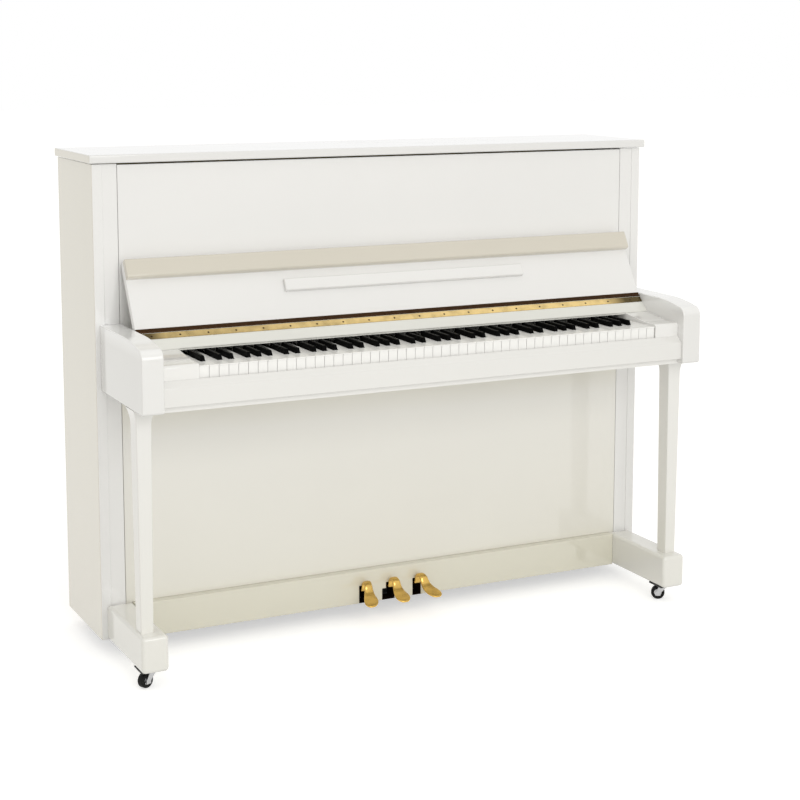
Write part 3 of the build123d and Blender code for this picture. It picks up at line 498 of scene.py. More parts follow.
panel = {"edge": 0.0015, "shadowGap": 0.0025, "ear": 0.012, "earGap": 0.0005}
low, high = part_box("upper_panel")
outline = rect((low.x, low.z), (high.x, high.z - panel["shadowGap"]))  # a dark line under the lid
upperPanel = slab(outline, eased, "y", low.y, high.y, panel["edge"])
piece("upperPanel", upperPanel, whiteLacquer, stands=["upper_panel"])
low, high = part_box("lower_panel")
earFoot = low.z - panel["ear"]  # ears reach down beside the plinth
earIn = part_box("plinth")[1].x + panel["earGap"]
outline = [(low.x, earFoot), (-earIn, earFoot), (-earIn, low.z), (earIn, low.z), (earIn, earFoot)]
outline += [(high.x, earFoot), (high.x, high.z), (low.x, high.z)]
lowerPanel = slab(outline, eased, "y", low.y, high.y, panel["edge"])
piece("lowerPanel", lowerPanel, panelLacquer, stands=["lower_panel"])

plinth = {"slotWidth": 0.024, "slotHeight": 0.046, "step": (0.011, 0.030), "spacing": 0.076}
plinth |= {"corner": 0.0015, "edge": 0.002}
low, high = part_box("plinth")
slotTop = low.z + plinth["slotHeight"]
slotHalf = plinth["slotWidth"] / 2
stepLeft, stepTop = -slotHalf - plinth["step"][0], low.z + plinth["step"][1]
plinthCorners, slotEnds = [(low.x, low.z)], [1]
for middle in (-plinth["spacing"], 0, plinth["spacing"]):
    if middle == 0:  # the middle slot has a step to the left that holds its pedal down
        plinthCorners += [(stepLeft, low.z), (stepLeft, stepTop)]
        plinthCorners += [(-slotHalf, stepTop), (-slotHalf, slotTop)]
    else:
        plinthCorners += [(middle - slotHalf, low.z), (middle - slotHalf, slotTop)]
    plinthCorners += [(middle + slotHalf, slotTop), (middle + slotHalf, low.z)]
    slotEnds.append(len(plinthCorners))
plinthCorners += [(high.x, low.z), (high.x, high.z), (low.x, high.z)]
plinthBoard = slab(plinthCorners, plinth["corner"], "y", low.y, high.y, plinth["edge"])
piece("plinthBoard", plinthBoard, plinthLacquer, stands=["plinth"])

# black felt lines the pedal slots: dark sheets put where there is shade
lining = {"felt": 0.0012, "corner": 0.0001, "edge": 0.0002, "plate": (0.004, 0.003)}
felt = lining["felt"]


def feltBoard(outline, start, end):  # an outline carried straight back from start to end
    return slab(outline, lining["corner"], "y", start, end, lining["edge"], **plain)


linings = []
for first, last in zip(slotEnds, slotEnds[1:]):  # a black strip of even thickness on each slot's walls, painted shade
    wall = np.array(plinthCorners[first:last])
    run = unit(np.diff(wall, axis=0))
    inward = np.stack([run[:, 1], -run[:, 0]], 1) * felt
    offset = np.concatenate([inward[:1], inward[:-1] + inward[1:], inward[-1:]])
    strip = np.concatenate([wall, (wall + offset)[::-1]])
    sill = rect((wall[0, 0] + felt, low.z), (wall[-1, 0] - felt, low.z + felt))
    for outline in (strip, sill):
        linings.append(feltBoard(outline, low.y + plinth["edge"], high.y - plinth["edge"]))
stepBack = rect((stepLeft + felt, low.z + felt), (-slotHalf, stepTop - felt))  # a black plate that closes the step, painted shade
linings.append(feltBoard(stepBack, high.y - lining["plate"][0], high.y - lining["plate"][1]))
piece("slotFelt", joined(*linings), blackFelt)

arm = {"width": 0.052, "slopeLength": 0.130, "drop": 0.017, "nose": 0.024, "heel": 0.006}
# the arms' colour is darker than the white lacquer, painted shade; their top colour is a painted highlight
arm |= {"edge": 0.003, "colour": (0.82, 0.815, 0.80), "topColour": (0.94, 0.94, 0.935)}
arm |= {"lightStart": 0.035, "lightFull": 0.008}  # the painted highlight starts and is full this far below the top
low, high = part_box("arms")
slopeStart = low.y + arm["slopeLength"]
slopeRadius = (arm["slopeLength"] ** 2 + arm["drop"] ** 2) / (2 * arm["drop"])
slopeY = np.linspace(slopeStart, low.y + arm["nose"], 10)
slopeZ = high.z - slopeRadius + np.sqrt(slopeRadius**2 - (slopeY - slopeStart) ** 2)
noseTurn = np.linspace(0, np.pi / 2, 9)[1:]
noseY = low.y + arm["nose"] * (1 - np.sin(noseTurn))
noseZ = slopeZ[-1] - arm["nose"] * (1 - np.cos(noseTurn))
heelTurn = np.linspace(0, np.pi / 2, 5)
heelY = low.y + arm["heel"] * (1 - np.cos(heelTurn))
heelZ = low.z + arm["heel"] * (1 - np.sin(heelTurn))
armTop = np.stack([np.r_[slopeY, noseY, heelY], np.r_[slopeZ, noseZ, heelZ]], 1)
armOutline = np.concatenate([[(high.y, low.z), (high.y, high.z)], armTop])
armInner = high.x - arm["width"]
rightArm = slab(armOutline, 0, "x", armInner, high.x, arm["edge"], arcSteps=0, steps=4)
lightFrom, lightTo = high.z - arm["lightStart"], high.z - arm["lightFull"]


def paintedTopLight(coat):  # painted highlight: the arms are lightest on top
    return coat.along("Z").spread(lightFrom, lightTo)


armLacquer = lacquer("armLacquer", arm["topColour"], paintedTopLight, arm["colour"])
armPair = joined(rightArm, mirrored(rightArm))
piece("armPair", armPair, armLacquer, stands=["arms"])

toe = {"width": 0.064, "front": 0.009, "edge": 0.009}
low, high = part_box("toe_blocks")
toeCorners = rect((high.x - toe["width"], low.y), (high.x, high.y))
toeRadii = [toe["front"], toe["front"], eased, eased]
rightToe = slab(toeCorners, toeRadii, "z", low.z, high.z, toe["edge"], arcSteps=6)
toePair = joined(rightToe, mirrored(rightToe))
piece("toePair", toePair, whiteLacquer, stands=["toe_blocks"])

leg = {"width": 0.036, "depth": 0.046, "taper": 0.003, "flare": 0.008, "flareHeight": 0.042}
leg |= {"corner": 0.003, "shaftEnd": 0.9, "coveStart": 0.92}  # the ends as shares of its height
low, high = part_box("legs")
legMiddle = Vector((high.x - leg["width"] / 2 - leg["flare"], (low.y + high.y) / 2))
rise = np.r_[np.linspace(0, leg["shaftEnd"], 8), np.linspace(leg["coveStart"], 1, 12)]
legZ = low.z + (high.z - low.z) * rise
coveFoot = high.z - leg["flareHeight"]
coveRadius = (leg["flareHeight"] ** 2 + leg["flare"] ** 2) / (2 * leg["flare"])
intoCove = np.clip(legZ - coveFoot, 0, None)
shaftShare = np.clip((coveFoot - legZ) / (coveFoot - low.z), 0, 1)
coveOut, taperIn = coveRadius - np.sqrt(coveRadius**2 - intoCove**2), leg["taper"] * shaftShare
legHalf = np.array((leg["width"], leg["depth"])) / 2
legOutline = rounded(rect(-legHalf, legHalf), leg["corner"])
grow = (coveOut - taperIn)[:, None, None]
legRings = legOutline[None] + np.sign(legOutline)[None] * grow + np.array(legMiddle)
legRise = np.broadcast_to(legZ[:, None, None], (*legRings.shape[:2], 1))
legVerts = np.concatenate([legRings, legRise], -1)
rightLeg = (legVerts.reshape(-1, 3), capped(*legRings.shape[:2]))
legPair = joined(rightLeg, mirrored(rightLeg))
piece("legPair", legPair, whiteLacquer, stands=["legs"])
print("case: lid, sides, panels, plinth, arms, toes and legs")

# Keyboard end
slip = {"bevel": 0.015, "round": 0.002, "edge": 0.0012}
low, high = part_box("key_slip")
slipCorners = rect((low.y, low.z), (high.y, high.z))[:3].tolist()
slipCorners += [(low.y + slip["bevel"], high.z), (low.y, high.z - slip["bevel"])]
slipRadii = [slip["round"], eased, eased, slip["round"], slip["round"]]
slipBoard = slab(slipCorners, slipRadii, "x", low.x, high.x, slip["edge"])
piece("keySlip", slipBoard, frontLacquer, stands=["key_slip"])

cheek = {"nose": 0.008, "edge": 0.0012, "rise": 0.006, "ramp": 0.088, "bend": 0.020, "gap": 0.0015}
low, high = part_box("key_blocks")
keysLeft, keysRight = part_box("key_a")[0].x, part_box("key_c")[1].x
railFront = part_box("fallboard_rail")[0].y
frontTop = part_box("key_a")[1].z + cheek["rise"]
cheekCorners = rect((low.y, low.z), (high.y, high.z))[:3].tolist()
cheekCorners += [(railFront, high.z), (railFront - cheek["ramp"], frontTop), (low.y, frontTop)]
cheekRadii = [eased, eased, eased, cheek["bend"], cheek["bend"], cheek["nose"]]
cheekEnds = [(low.x, keysLeft - cheek["gap"]), (keysRight + cheek["gap"], high.x)]
cheeks = [
    slab(cheekCorners, cheekRadii, "x", *ends, cheek["edge"], arcSteps=6) for ends in cheekEnds
]
piece("keyCheeks", joined(*cheeks), whiteLacquer, stands=["key_blocks"])

hinge = {"leaf": 0.0015, "fixedWidth": 0.020, "wingWidth": 0.009, "radius": 0.003}
hinge |= {"knuckles": 55, "screws": 20, "screwRow": 0.0125, "play": 0.0003}
hinge |= {"corner": 0.0004, "edge": 0.0003, "colour": (0.86, 0.64, 0.28)}
pinY, pinZ = jointOf("fallboard")["pos_m"][1:]
fall = {"length": 0.182, "thickness": 0.018, "heel": 0.004, "round": 0.006, "edge": 0.002}
fall |= {"bar": 0.048, "proud": 0.017, "backRound": 0.0025}
fall |= {"barColour": (0.685, 0.645, 0.555), "barStart": 0.002}  # its painted shade tone is full that far out
low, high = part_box("fallboard")
faceOut, backOut = -hinge["leaf"], -hinge["leaf"] - fall["thickness"]
backCorner = math.hypot(fall["length"], backOut)
fallLean = math.asin((high.y - pinY) / backCorner) - math.atan2(-backOut, fall["length"])


def onFall(points):  # (up the board, out of its face) to (y, z)
    sine, cosine = math.sin(fallLean), math.cos(fallLean)
    return tilted(points, (pinY, pinZ), (sine, cosine), (-cosine, sine))


def onBar(coat):  # painted shade on what stands out of the face: out = (pin - y) cos lean + (z - pin) sin lean
    forward = math.cos(fallLean) * (pinY - coat.along("Y"))
    out = forward + math.sin(fallLean) * (coat.along("Z") - pinZ)
    return out.spread(0.0, fall["barStart"])


barFoot = fall["length"] - fall["bar"]
fallCorners = [
    (fall["heel"], faceOut),
    (barFoot, faceOut),
    (barFoot, fall["proud"]),
    (fall["length"], fall["proud"]),
    (fall["length"], backOut),
    (fall["heel"], backOut),
]
fallRadii = [eased, eased, fall["round"], fall["round"], fall["backRound"], eased]
barLacquer = lacquer("barLacquer", fall["barColour"], onBar)
fallBoard = slab(onFall(fallCorners), fallRadii, "x", low.x, high.x, fall["edge"], arcSteps=6)
piece("fallBoard", fallBoard, barLacquer, "fallboard", ["fallboard"])

ledge = {"rise": 0.0785, "width": 0.0315, "thickness": 0.011, "gap": 0.0003}
ledge |= {"round": 0.004, "backRound": 0.0008, "edge": 0.002}
low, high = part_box("music_ledge")
ledgeFoot = ledge["gap"] - hinge["leaf"]
ledgeTop, ledgeFace = ledge["rise"] + ledge["width"], ledgeFoot + ledge["thickness"]
ledgeCorners = [(ledge["rise"], ledgeFoot), (ledge["rise"], ledgeFace)]
ledgeCorners += [(ledgeTop, ledgeFace), (ledgeTop, ledgeFoot)]
ledgeRadii = [ledge["backRound"], ledge["round"], ledge["round"], ledge["backRound"]]
ledgeEdge = ledge["edge"]
ledgeBar = slab(onFall(ledgeCorners), ledgeRadii, "x", low.x, high.x, ledgeEdge, arcSteps=5)
piece("musicLedge", ledgeBar, whiteLacquer, "music_ledge", ["music_ledge"])

rail = {"slope": math.radians(40), "slopeLength": 0.052, "edge": 0.001}
rail |= {"groove": 0.0033, "grooveTurn": (200, 300)}  # hollow that the knuckles turn in, degrees
rail |= {"lip": 0.0032, "lipDepth": 0.006, "lipRound": 0.0004}  # batten close over the black keys
# the rail's colour and tone are darker than the white lacquer: painted shade
rail |= {"colour": (0.80, 0.80, 0.755), "warmColour": (0.76, 0.755, 0.69)}
low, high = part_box("fallboard_rail")


def onSlope(points):  # (down the slope, out of it) to (y, z)
    sine, cosine = math.sin(rail["slope"]), math.cos(rail["slope"])
    return tilted(points, (pinY, pinZ), (-cosine, -sine), (-sine, cosine))


grooveTurn = np.linspace(*[math.radians(degrees) for degrees in rail["grooveTurn"]], 7)
grooveY = pinY + rail["groove"] * np.cos(grooveTurn)
grooveZ = pinZ + rail["groove"] * np.sin(grooveTurn)
railOutline = np.concatenate(
    [
        [(high.y, low.z), (high.y, high.z), (pinY + fall["heel"], high.z)],
        np.stack([grooveY, grooveZ], 1)[::-1],
        onSlope([(rail["groove"], faceOut), (rail["slopeLength"], faceOut)]),
        [(low.y, low.z)],
    ]
)
railLacquer = lacquer("railLacquer", rail["warmColour"], colour=rail["colour"])
nameRail = slab(railOutline, 0, "x", low.x, high.x, rail["edge"], arcSteps=0)
lipFoot, lipHead = low.z - rail["lip"], low.z + rail["edge"]
lipCorners = rect((low.y, lipFoot), (low.y + rail["lipDepth"], lipHead))
lipRound = rail["lipRound"]
railLip = slab(lipCorners, lipRound, "x", keysLeft, keysRight, lipRound, arcSteps=2, steps=1)
nameRail = joined(nameRail, railLip)
piece("nameRail", nameRail, railLacquer, stands=["fallboard_rail"])

low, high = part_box("fallboard_hinge_fixed")
pitch, play = (high.x - low.x) / hinge["knuckles"], hinge["play"]
knuckleLine = [(0, 0), (hinge["radius"] - play, 0), (hinge["radius"], play)]
knuckleLine += [(r, pitch - play - h) for r, h in knuckleLine[::-1]]
knuckle = turnedRound(knuckleLine, (0, pinY, pinZ), (1, 0, 0), 14)
screw = {"radius": 0.0032, "dome": 0.0006, "sunk": 0.0002, "foot": 0.0004}
endReflection = {"pale": 0.5, "paleFrom": 0.2, "paleFull": 0.08}  # painted reflection: pale from a place, full near the end
endReflection |= {"dark": (0.07, 0.03), "treble": (0.12, 0.05)}  # from the end: where it starts, is full


def knuckles(first):  # every other one along the pin
    return copied(knuckle, low.x + pitch * np.arange(first, hinge["knuckles"], 2))


def leaf(outline):  # a brass strip along the pin
    return slab(outline, hinge["corner"], "x", low.x, high.x, hinge["edge"], arcSteps=2, steps=2)


def screwHeads(count, foot, normal):  # low domes: the height falls as the square of the radius
    share = np.linspace(1, 0, 5)
    domeHeight = screw["dome"] * (1 - share**2) - screw["sunk"]
    dome = np.stack([screw["radius"] * share, domeHeight], 1)
    line = np.concatenate([[(0, -screw["foot"]), (screw["radius"], -screw["foot"])], dome])
    head = turnedRound(line, (0, *foot), (0, *normal), 12)
    return copied(head, low.x + (np.arange(count) + 0.5) * (high.x - low.x) / count)


def darkReflectedEnds(metal):  # painted dark reflection at both ends of the leaf, paler from beyond the middle
    x = metal.along("X")
    pale = endReflection["pale"] * x.spread(endReflection["paleFrom"], low.x + endReflection["paleFull"])
    dark = x.spread(*[low.x + inward for inward in endReflection["dark"]])
    bassEnd = pale + (1 - endReflection["pale"]) * dark
    return bassEnd.most(x.spread(*[high.x - inward for inward in endReflection["treble"]]))


leafStart = hinge["radius"] + play
fixedLeaf = onSlope(rect((leafStart, faceOut), (hinge["fixedWidth"] + play, 0)))
slopeNormal = onSlope([(0, 1)])[0] - (pinY, pinZ)
leafBrass = brass("leafBrass", hinge["colour"], darkReflectedEnds)
piece("longHingeFixed", leaf(fixedLeaf), leafBrass, stands=["fallboard_hinge_fixed"])
hingeScrews = screwHeads(hinge["screws"], onSlope([(hinge["screwRow"], 0)])[0], slopeNormal)
piece("longHingeScrews", joined(hingeScrews, knuckles(0)), agedBrass)
wingLeaf = onFall(rect((leafStart, faceOut), (hinge["wingWidth"] + play, 0)))
wingHinge = joined(leaf(wingLeaf), knuckles(1))
piece("longHingeWing", wingHinge, agedBrass, "fallboard", ["fallboard_hinge_wing"])
print("keyboard end: slip, cheeks, fallboard, ledge, rail and long hinge")

# Keys
keyboard = {"pitch": 0.02355, "gap": 0.0007, "lip": 0.0025, "cover": 0.003, "head": 0.050}
keyboard |= {"notes": 88, "firstNote": 9, "notchGap": 0.0005, "sliver": 0.0002, "overlap": 0.0003}
keyboard |= {"plate": 0.0025, "plateDrop": 0.012, "plateEdge": 0.0003}  # reaches behind the slip
keyboard |= {"coverEdge": 0.0006, "leverEdge": 0.0002, "plasticFront": 0.002}
keyRound = {"front": 0.0012, "tail": 0.0004, "inside": 0.00008}
blackKey = {"length": 0.098, "foot": 0.011, "top": 0.0079, "nose": 0.005, "noseCurve": 1.5}
blackKey |= {"round": 0.0016, "footRound": 0.0003, "edge": 0.0018}
noteNames = ("c", "c_sharp", "d", "d_sharp", "e", "f")
noteNames += ("f_sharp", "g", "g_sharp", "a", "a_sharp", "b")
whiteNotes = (0, 2, 4, 5, 7, 9, 11)
keyLow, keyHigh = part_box("key_a")
notch = keyLow.y + keyboard["head"]
coverFoot = keyHigh.z - keyboard["cover"]
numbers = np.arange(keyboard["notes"]) + keyboard["firstNote"]
octave, note = np.divmod(numbers, len(noteNames))
octaveLeft = keyLow.x - keyboard["gap"] / 2 + (octave * 7 - 5) * keyboard["pitch"]
lowerShare = 3 * keyboard["pitch"] / 5  # at the back C to E share three keys' width in five parts
upperShare = 4 * keyboard["pitch"] / 7  # and F to B share four keys' width in seven
upperLeft = 3 * keyboard["pitch"] + (note - 5) * upperShare
tailLeft = octaveLeft + np.where(note < 5, note * lowerShare, upperLeft)
tailRight = tailLeft + np.where(note < 5, lowerShare, upperShare)
keyWood = {"light": (0.72, 0.56, 0.36), "dark": (0.56, 0.40, 0.23), "rings": (90, 4, 90)}
keyWood |= {"bend": 0.8, "rough": 0.55, "grainRough": 0.10}


def keyFinish(name, colour, gloss, grain, shine):  # plastic on top and in front, else bare wood
    key = Finish(name, colour, Specular_IOR_Level=shine)
    onTop = key.along("Z") > coverFoot
    frontEnd = keyLow.y + keyboard["lip"] + keyboard["plasticFront"]
    moulded = onTop.most(key.along("Y") < frontEnd)
    fine = key.noise(1, 3, key.stretched(moulding["grain"]))
    cloud = key.noise(moulding["cloudScale"], 2)
    rings = key.noise(1, 4, key.stretched(keyWood["rings"]), keyWood["bend"])
    bare = key.mix(rings, keyWood["light"], keyWood["dark"])
    clouded = key.mix(cloud, shade(colour, moulding["cloudShade"]), colour)
    key.feed("Base Color", key.mix(moulded, bare, clouded))
    rough = keyWood["rough"] + moulded * (gloss - keyWood["rough"])
    key.feed("Roughness", rough + keyWood["grainRough"] * fine)
    key.bump(fine, grain, moulding["grainDepth"])
    return key.material


def whiteKey(index):  # an outline notched for the black keys, carried up as lever and cover
    gap, sliver = keyboard["gap"], keyboard["sliver"]
    left = octaveLeft[index] + whiteNotes.index(note[index]) * keyboard["pitch"] + gap / 2
    right = left + keyboard["pitch"] - gap
    leftTail = max(tailLeft[index] + gap / 2, left + sliver)
    rightTail = min(tailRight[index] - gap / 2, right - sliver)
    if index == 0:
        leftTail = left + sliver
    if index == keyboard["notes"] - 1:
        rightTail = right - sliver
    headEnd = notch - keyboard["notchGap"]
    corners = np.array(
        [
            (left, keyLow.y),
            (right, keyLow.y),
            (right, headEnd),
            (rightTail, headEnd),
            (rightTail, keyHigh.y),
            (leftTail, keyHigh.y),
            (leftTail, headEnd),
            (left, headEnd),
        ]
    )
    nose, tail, inside = keyRound["front"], keyRound["tail"], keyRound["inside"]
    radii = [nose, nose, tail, inside, tail, tail, inside, tail]
    leverTop = coverFoot + keyboard["overlap"]
    cover = slab(corners, radii, "z", coverFoot, keyHigh.z, keyboard["coverEdge"], 3, 3)
    corners[:2, 1] += keyboard["lip"]
    lever = slab(corners, inside, "z", keyLow.z, leverTop, keyboard["leverEdge"], **plain)
    plateFront = keyLow.y + keyboard["lip"] - keyboard["overlap"]
    plate = rect((left, plateFront), (right, plateFront + keyboard["plate"]))
    plateFoot, plateEdge = keyLow.z - keyboard["plateDrop"], keyboard["plateEdge"]
    frontPlate = slab(plate, plateEdge, "z", plateFoot, leverTop, plateEdge, **plain)
    return joined(cover, lever, frontPlate)


def sharpKey(index):  # a tapered bar on a stick; its front leans back as a power of the height
    middle = (tailLeft[index] + tailRight[index]) / 2
    foot, top = blackKey["foot"] / 2, blackKey["top"] / 2
    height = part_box("key_a_sharp")[1].z
    front, back = notch + keyboard["gap"], notch + blackKey["length"]
    corners = [(middle - foot, coverFoot), (middle + foot, coverFoot)]
    corners += [(middle + top, height), (middle - top, height)]
    radii = [blackKey["footRound"]] * 2 + [blackKey["round"]] * 2
    verts, faces = slab(corners, radii, "y", front, back, blackKey["edge"], 5, 4)
    rising = (verts[:, 2] - coverFoot) / (height - coverFoot)
    ahead = 1 - (verts[:, 1] - front) / (back - front)
    verts[:, 1] += blackKey["nose"] * rising ** blackKey["noseCurve"] * ahead
    half = (tailRight[index] - tailLeft[index] - keyboard["gap"]) / 2
    outline = rect((middle - half, front), (middle + half, keyHigh.y))
    edge = keyboard["leverEdge"]
    stick = slab(outline, edge, "z", keyLow.z, coverFoot + keyboard["sliver"], edge, **plain)
    return joined((verts, faces), stick)


ivoryKey = keyFinish("ivoryKey", (0.95, 0.945, 0.925), 0.14, 0.03, 0.5)
ebonyKey = keyFinish("ebonyKey", (0.004, 0.004, 0.004), 0.34, 0.10, 0.015)
whiteSet, blackSet = (whiteKey, ivoryKey, "key_white"), (sharpKey, ebonyKey, "key_black")
for number, name in enumerate(noteNames):
    makeKey, finish, slot = whiteSet if number in whiteNotes else blackSet
    keys = joined(*[makeKey(index) for index in np.flatnonzero(note == number)])
    node = f"key_{name}"
    piece(f"keys.{name}", keys, finish, node, [node])
print("keys:", keyboard["notes"])

# Pedals
pedal = {"neck": 0.009, "paddle": 0.019, "thick": 0.0045, "thinner": 0.3, "square": 3.2}
pedal |= {"reach": 0.092, "tip": 0.061, "closed": 0.9995, "sides": 28, "crease": 60}
swan = {"start": 0.008, "exit": 0.076, "height": 0.014}
swan |= {"near": 0.008, "far": 0.036, "farHeight": 0.094}
paddle = {"start": 0.058, "height": 0.074, "splay": 0.012}
pedalNodes = {"soft_pedal": -1, "practice_pedal": 0, "sustain_pedal": 1}  # and the way each leans
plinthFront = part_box("plinth")[0].y


def tangentArc(start, heading, end, count):  # the arc that leaves start along the heading to end
    chord = end - start
    turn = 2 * (np.arctan2(chord[1], chord[0]) - heading)
    turn = (turn + np.pi) % (2 * np.pi) - np.pi
    share = np.linspace(0, 1, count + 1)[1:]
    reach = np.linalg.norm(chord) * np.sin(share * turn / 2) / np.sin(turn / 2)
    toward = heading + share * turn / 2
    return start + reach[:, None] * np.stack([np.cos(toward), np.sin(toward)], 1), heading + turn


def pedalLine(back):  # (y, z) down the lever, over the swan neck and out to the tip
    lever = np.array([back, (plinthFront + swan["start"], swan["exit"])])
    heading = np.arctan2(*(lever[1] - lever[0])[::-1])
    stops = [
        (plinthFront - swan["near"], swan["exit"] + swan["height"], 10),
        (plinthFront - swan["far"], swan["farHeight"], 20),
        (plinthFront - paddle["start"], paddle["height"], 12),
        (plinthFront - pedal["reach"], pedal["tip"], 24),
    ]
    line = [lever[0] + (lever[1] - lever[0]) * np.linspace(0, 1, 9)[:, None]]
    for *stop, count in stops:
        arc, heading = tangentArc(line[-1][-1], heading, np.array(stop), count)
        line.append(arc)
    return np.concatenate(line)


def pedalLever(node, way):
    # a flattened ring follows the line; its half width grows from neck to paddle, then ends round
    middle, *back = jointOf(node)["pos_m"]
    line = pedalLine(back)
    ahead = plinthFront - line[:, 0]
    paddleStart = (swan["near"] + swan["far"]) / 2
    paddleMiddle = pedal["reach"] - pedal["paddle"]
    onward = (ahead - paddleStart) / (paddleMiddle - paddleStart)
    growth = np.clip(onward, 0, 1)
    half = pedal["neck"] + (pedal["paddle"] - pedal["neck"]) * growth**2 * (3 - 2 * growth)
    tip = np.clip((ahead - paddleMiddle) / pedal["paddle"], 0, pedal["closed"])
    half = half * np.sqrt(1 - tip**2)
    thick = pedal["thick"] * (1 - pedal["thinner"] * growth) * np.sqrt(1 - tip**6)
    run = unit(np.gradient(line, axis=0))
    angle = np.arange(pedal["sides"]) * 2 * np.pi / pedal["sides"]
    power = 2 / pedal["square"]
    across = np.sign(np.cos(angle)) * np.abs(np.cos(angle)) ** power
    over = np.sign(np.sin(angle)) * np.abs(np.sin(angle)) ** power
    lean = way * paddle["splay"] * np.clip(onward, 0, None)
    x = middle + lean[:, None] + half[:, None] * across[None]
    rise = thick[:, None] * over[None]
    ringY = line[:, :1] + rise * run[:, 1:]
    ringZ = line[:, 1:] - rise * run[:, :1]
    return np.stack([x, ringY, ringZ], -1).reshape(-1, 3), capped(*x.shape)


for node, way in pedalNodes.items():
    lever = pedalLever(node, way)
    piece(f"{node}.lever", lever, pedalBrass, node, [node], pedal["crease"])
print("pedals:", len(pedalNodes))

# Casters
wheel = {"radius": 0.018, "width": 0.018, "hub": 0.0098, "round": 0.004, "inside": 0.0006}
wheel |= {"dish": 0.0025, "boss": (0.0055, 0.006, 0.0065), "chamfer": 0.0006}  # face, side, foot
wheelNodes = ("left_front_wheel", "right_front_wheel", "left_rear_wheel", "right_rear_wheel")
half = wheel["width"] / 2
treadCorners = rect((wheel["hub"], -half), (wheel["radius"], half))
treadRadii = [wheel["inside"], wheel["round"], wheel["round"], wheel["inside"]]
treadLine = rounded(treadCorners, treadRadii, 6)
treadLine = np.concatenate([treadLine, treadLine[:1]])
face = half - wheel["dish"]
bossTop, bossSide, bossFoot = wheel["boss"]
hubLine = [(0.0, -half), (bossTop, -half), (bossSide, -half + wheel["chamfer"])]
hubLine += [(bossFoot, -face), (wheel["hub"], -face)]
hubLine += [(r, -h) for r, h in hubLine[::-1]]
for node in wheelNodes:
    axle = (jointOf(node)["pos_m"], jointOf(node)["axis"])
    verts, faces = turnedRound(treadLine, *axle, 48)
    piece(f"{node}.tread", (verts, faces[:-2]), hardRubber, node, [node])
    piece(f"{node}.hub", turnedRound(hubLine, *axle, 32), zincPlate, node)
print("casters:", len(wheelNodes))

# Back
beam = {"height": 0.120, "post": 0.090, "posts": 5, "depth": 0.074, "edge": 0.004}
beam |= {"block": 0.100, "blockCorner": 0.0015, "rebate": 0.0038}  # the rebate takes the hinges
liner = {"depth": 0.018, "width": 0.040, "gap": 0.0003}
low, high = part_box("back_frame")
postFront = high.y - beam["depth"]
postFoot, postHead = low.z + beam["height"], high.z - beam["height"]
bay = (high.x - low.x - beam["posts"] * beam["post"]) / (beam["posts"] - 1)
backParts = []
for number in range(beam["posts"]):
    left = low.x + number * (bay + beam["post"])
    foot = rect((left, postFront), (left + beam["post"], high.y))
    backParts.append(slab(foot, beam["edge"], "z", postFoot, postHead, eased))
piece("backPosts", joined(*backParts), beechAlongZ)
rebateY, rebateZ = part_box("top_lid")[1].y, jointOf("lid")["pos_m"][2] - beam["rebate"]
blockFoot = high.z - beam["block"]
lowerBeam = rect((postFront, low.z), (high.y, postFoot))
pinBlock = [
    (low.y, blockFoot),
    (postFront, blockFoot),
    (postFront, postHead),
    (high.y, postHead),
    (high.y, rebateZ),
    (rebateY, rebateZ),
    (rebateY, high.z),
    (low.y, high.z),
]
beams = [
    slab(lowerBeam, beam["edge"], "x", low.x, high.x, eased),
    slab(pinBlock, beam["blockCorner"], "x", low.x, high.x, eased),
]
linerFront = postFront - liner["depth"]
linerTop = blockFoot - liner["gap"]
for foot in (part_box("soundboard")[0].z, linerTop - liner["width"]):
    strip = rect((linerFront, foot), (postFront, foot + liner["width"]))
    beams.append(slab(strip, eased, "x", low.x, high.x, eased))
piece("backBeams", joined(*beams), beechAlongX, stands=["back_frame"])
print("back: posts, beams and liner")

# Hammers, strings and pins
hammer = {"length": 0.128, "reach": 0.042, "tail": 0.014, "lean": math.radians(20)}
hammer |= {"round": 0.011, "thick": 0.0095, "crown": 0.004, "shoulder": 0.006, "edge": 0.0012}
hammer |= {"butt": 0.012, "buttWidth": 0.008, "buttFoot": 0.006, "buttHead": 0.004}
hammer |= {"buttRound": 0.002, "buttEdge": 0.0006, "shank": 0.0026, "sunk": 0.002}


def onHammer(points):  # (up the shank, towards the strings) to (y, z)
    sine, cosine = math.sin(hammer["lean"]), math.cos(hammer["lean"])
    return tilted(points, jointOf("hammer_c")["pos_m"][1:], (-sine, cosine), (cosine, sine))


headCorners = [
    (hammer["length"], hammer["reach"]),
    (hammer["length"] + hammer["round"], hammer["reach"] - hammer["round"]),
    (hammer["length"] + hammer["round"] / 2, -hammer["tail"]),
    (hammer["length"] - hammer["round"] / 2, -hammer["tail"]),
    (hammer["length"] - hammer["round"], hammer["reach"] - hammer["round"]),
]
headRadii = [hammer["crown"], hammer["shoulder"], eased, eased, hammer["shoulder"]]
half = hammer["thick"] / 2
head = slab(onHammer(headCorners), headRadii, "x", -half, half, hammer["edge"], 5, 2)
buttFoot, buttHead = hammer["buttFoot"], hammer["buttHead"]
buttCorners = [(-buttFoot, -buttFoot), (-buttFoot, buttFoot)]
buttCorners += [(hammer["butt"], buttHead), (hammer["butt"], -buttHead)]
half, buttEdge = hammer["buttWidth"] / 2, hammer["buttEdge"]
butt = slab(onHammer(buttCorners), hammer["buttRound"], "x", -half, half, buttEdge, 2, 1)
shankLine = onHammer([(hammer["butt"] - hammer["sunk"], 0), (hammer["length"], 0)])
shankEnds = np.insert(shankLine, 0, 0, axis=1)
shank = rods(shankEnds[:1], shankEnds[1:], hammer["shank"])
noteMiddle = (tailLeft + tailRight) / 2
for number, name in enumerate(noteNames):
    places = noteMiddle[note == number]
    shanks = copied(joined(butt, shank), places)
    node = f"hammer_{name}"
    piece(f"hammerHeads.{name}", copied(head, places), hammerFelt, node, [node])
    piece(f"hammerShanks.{name}", shanks, limewood, node)

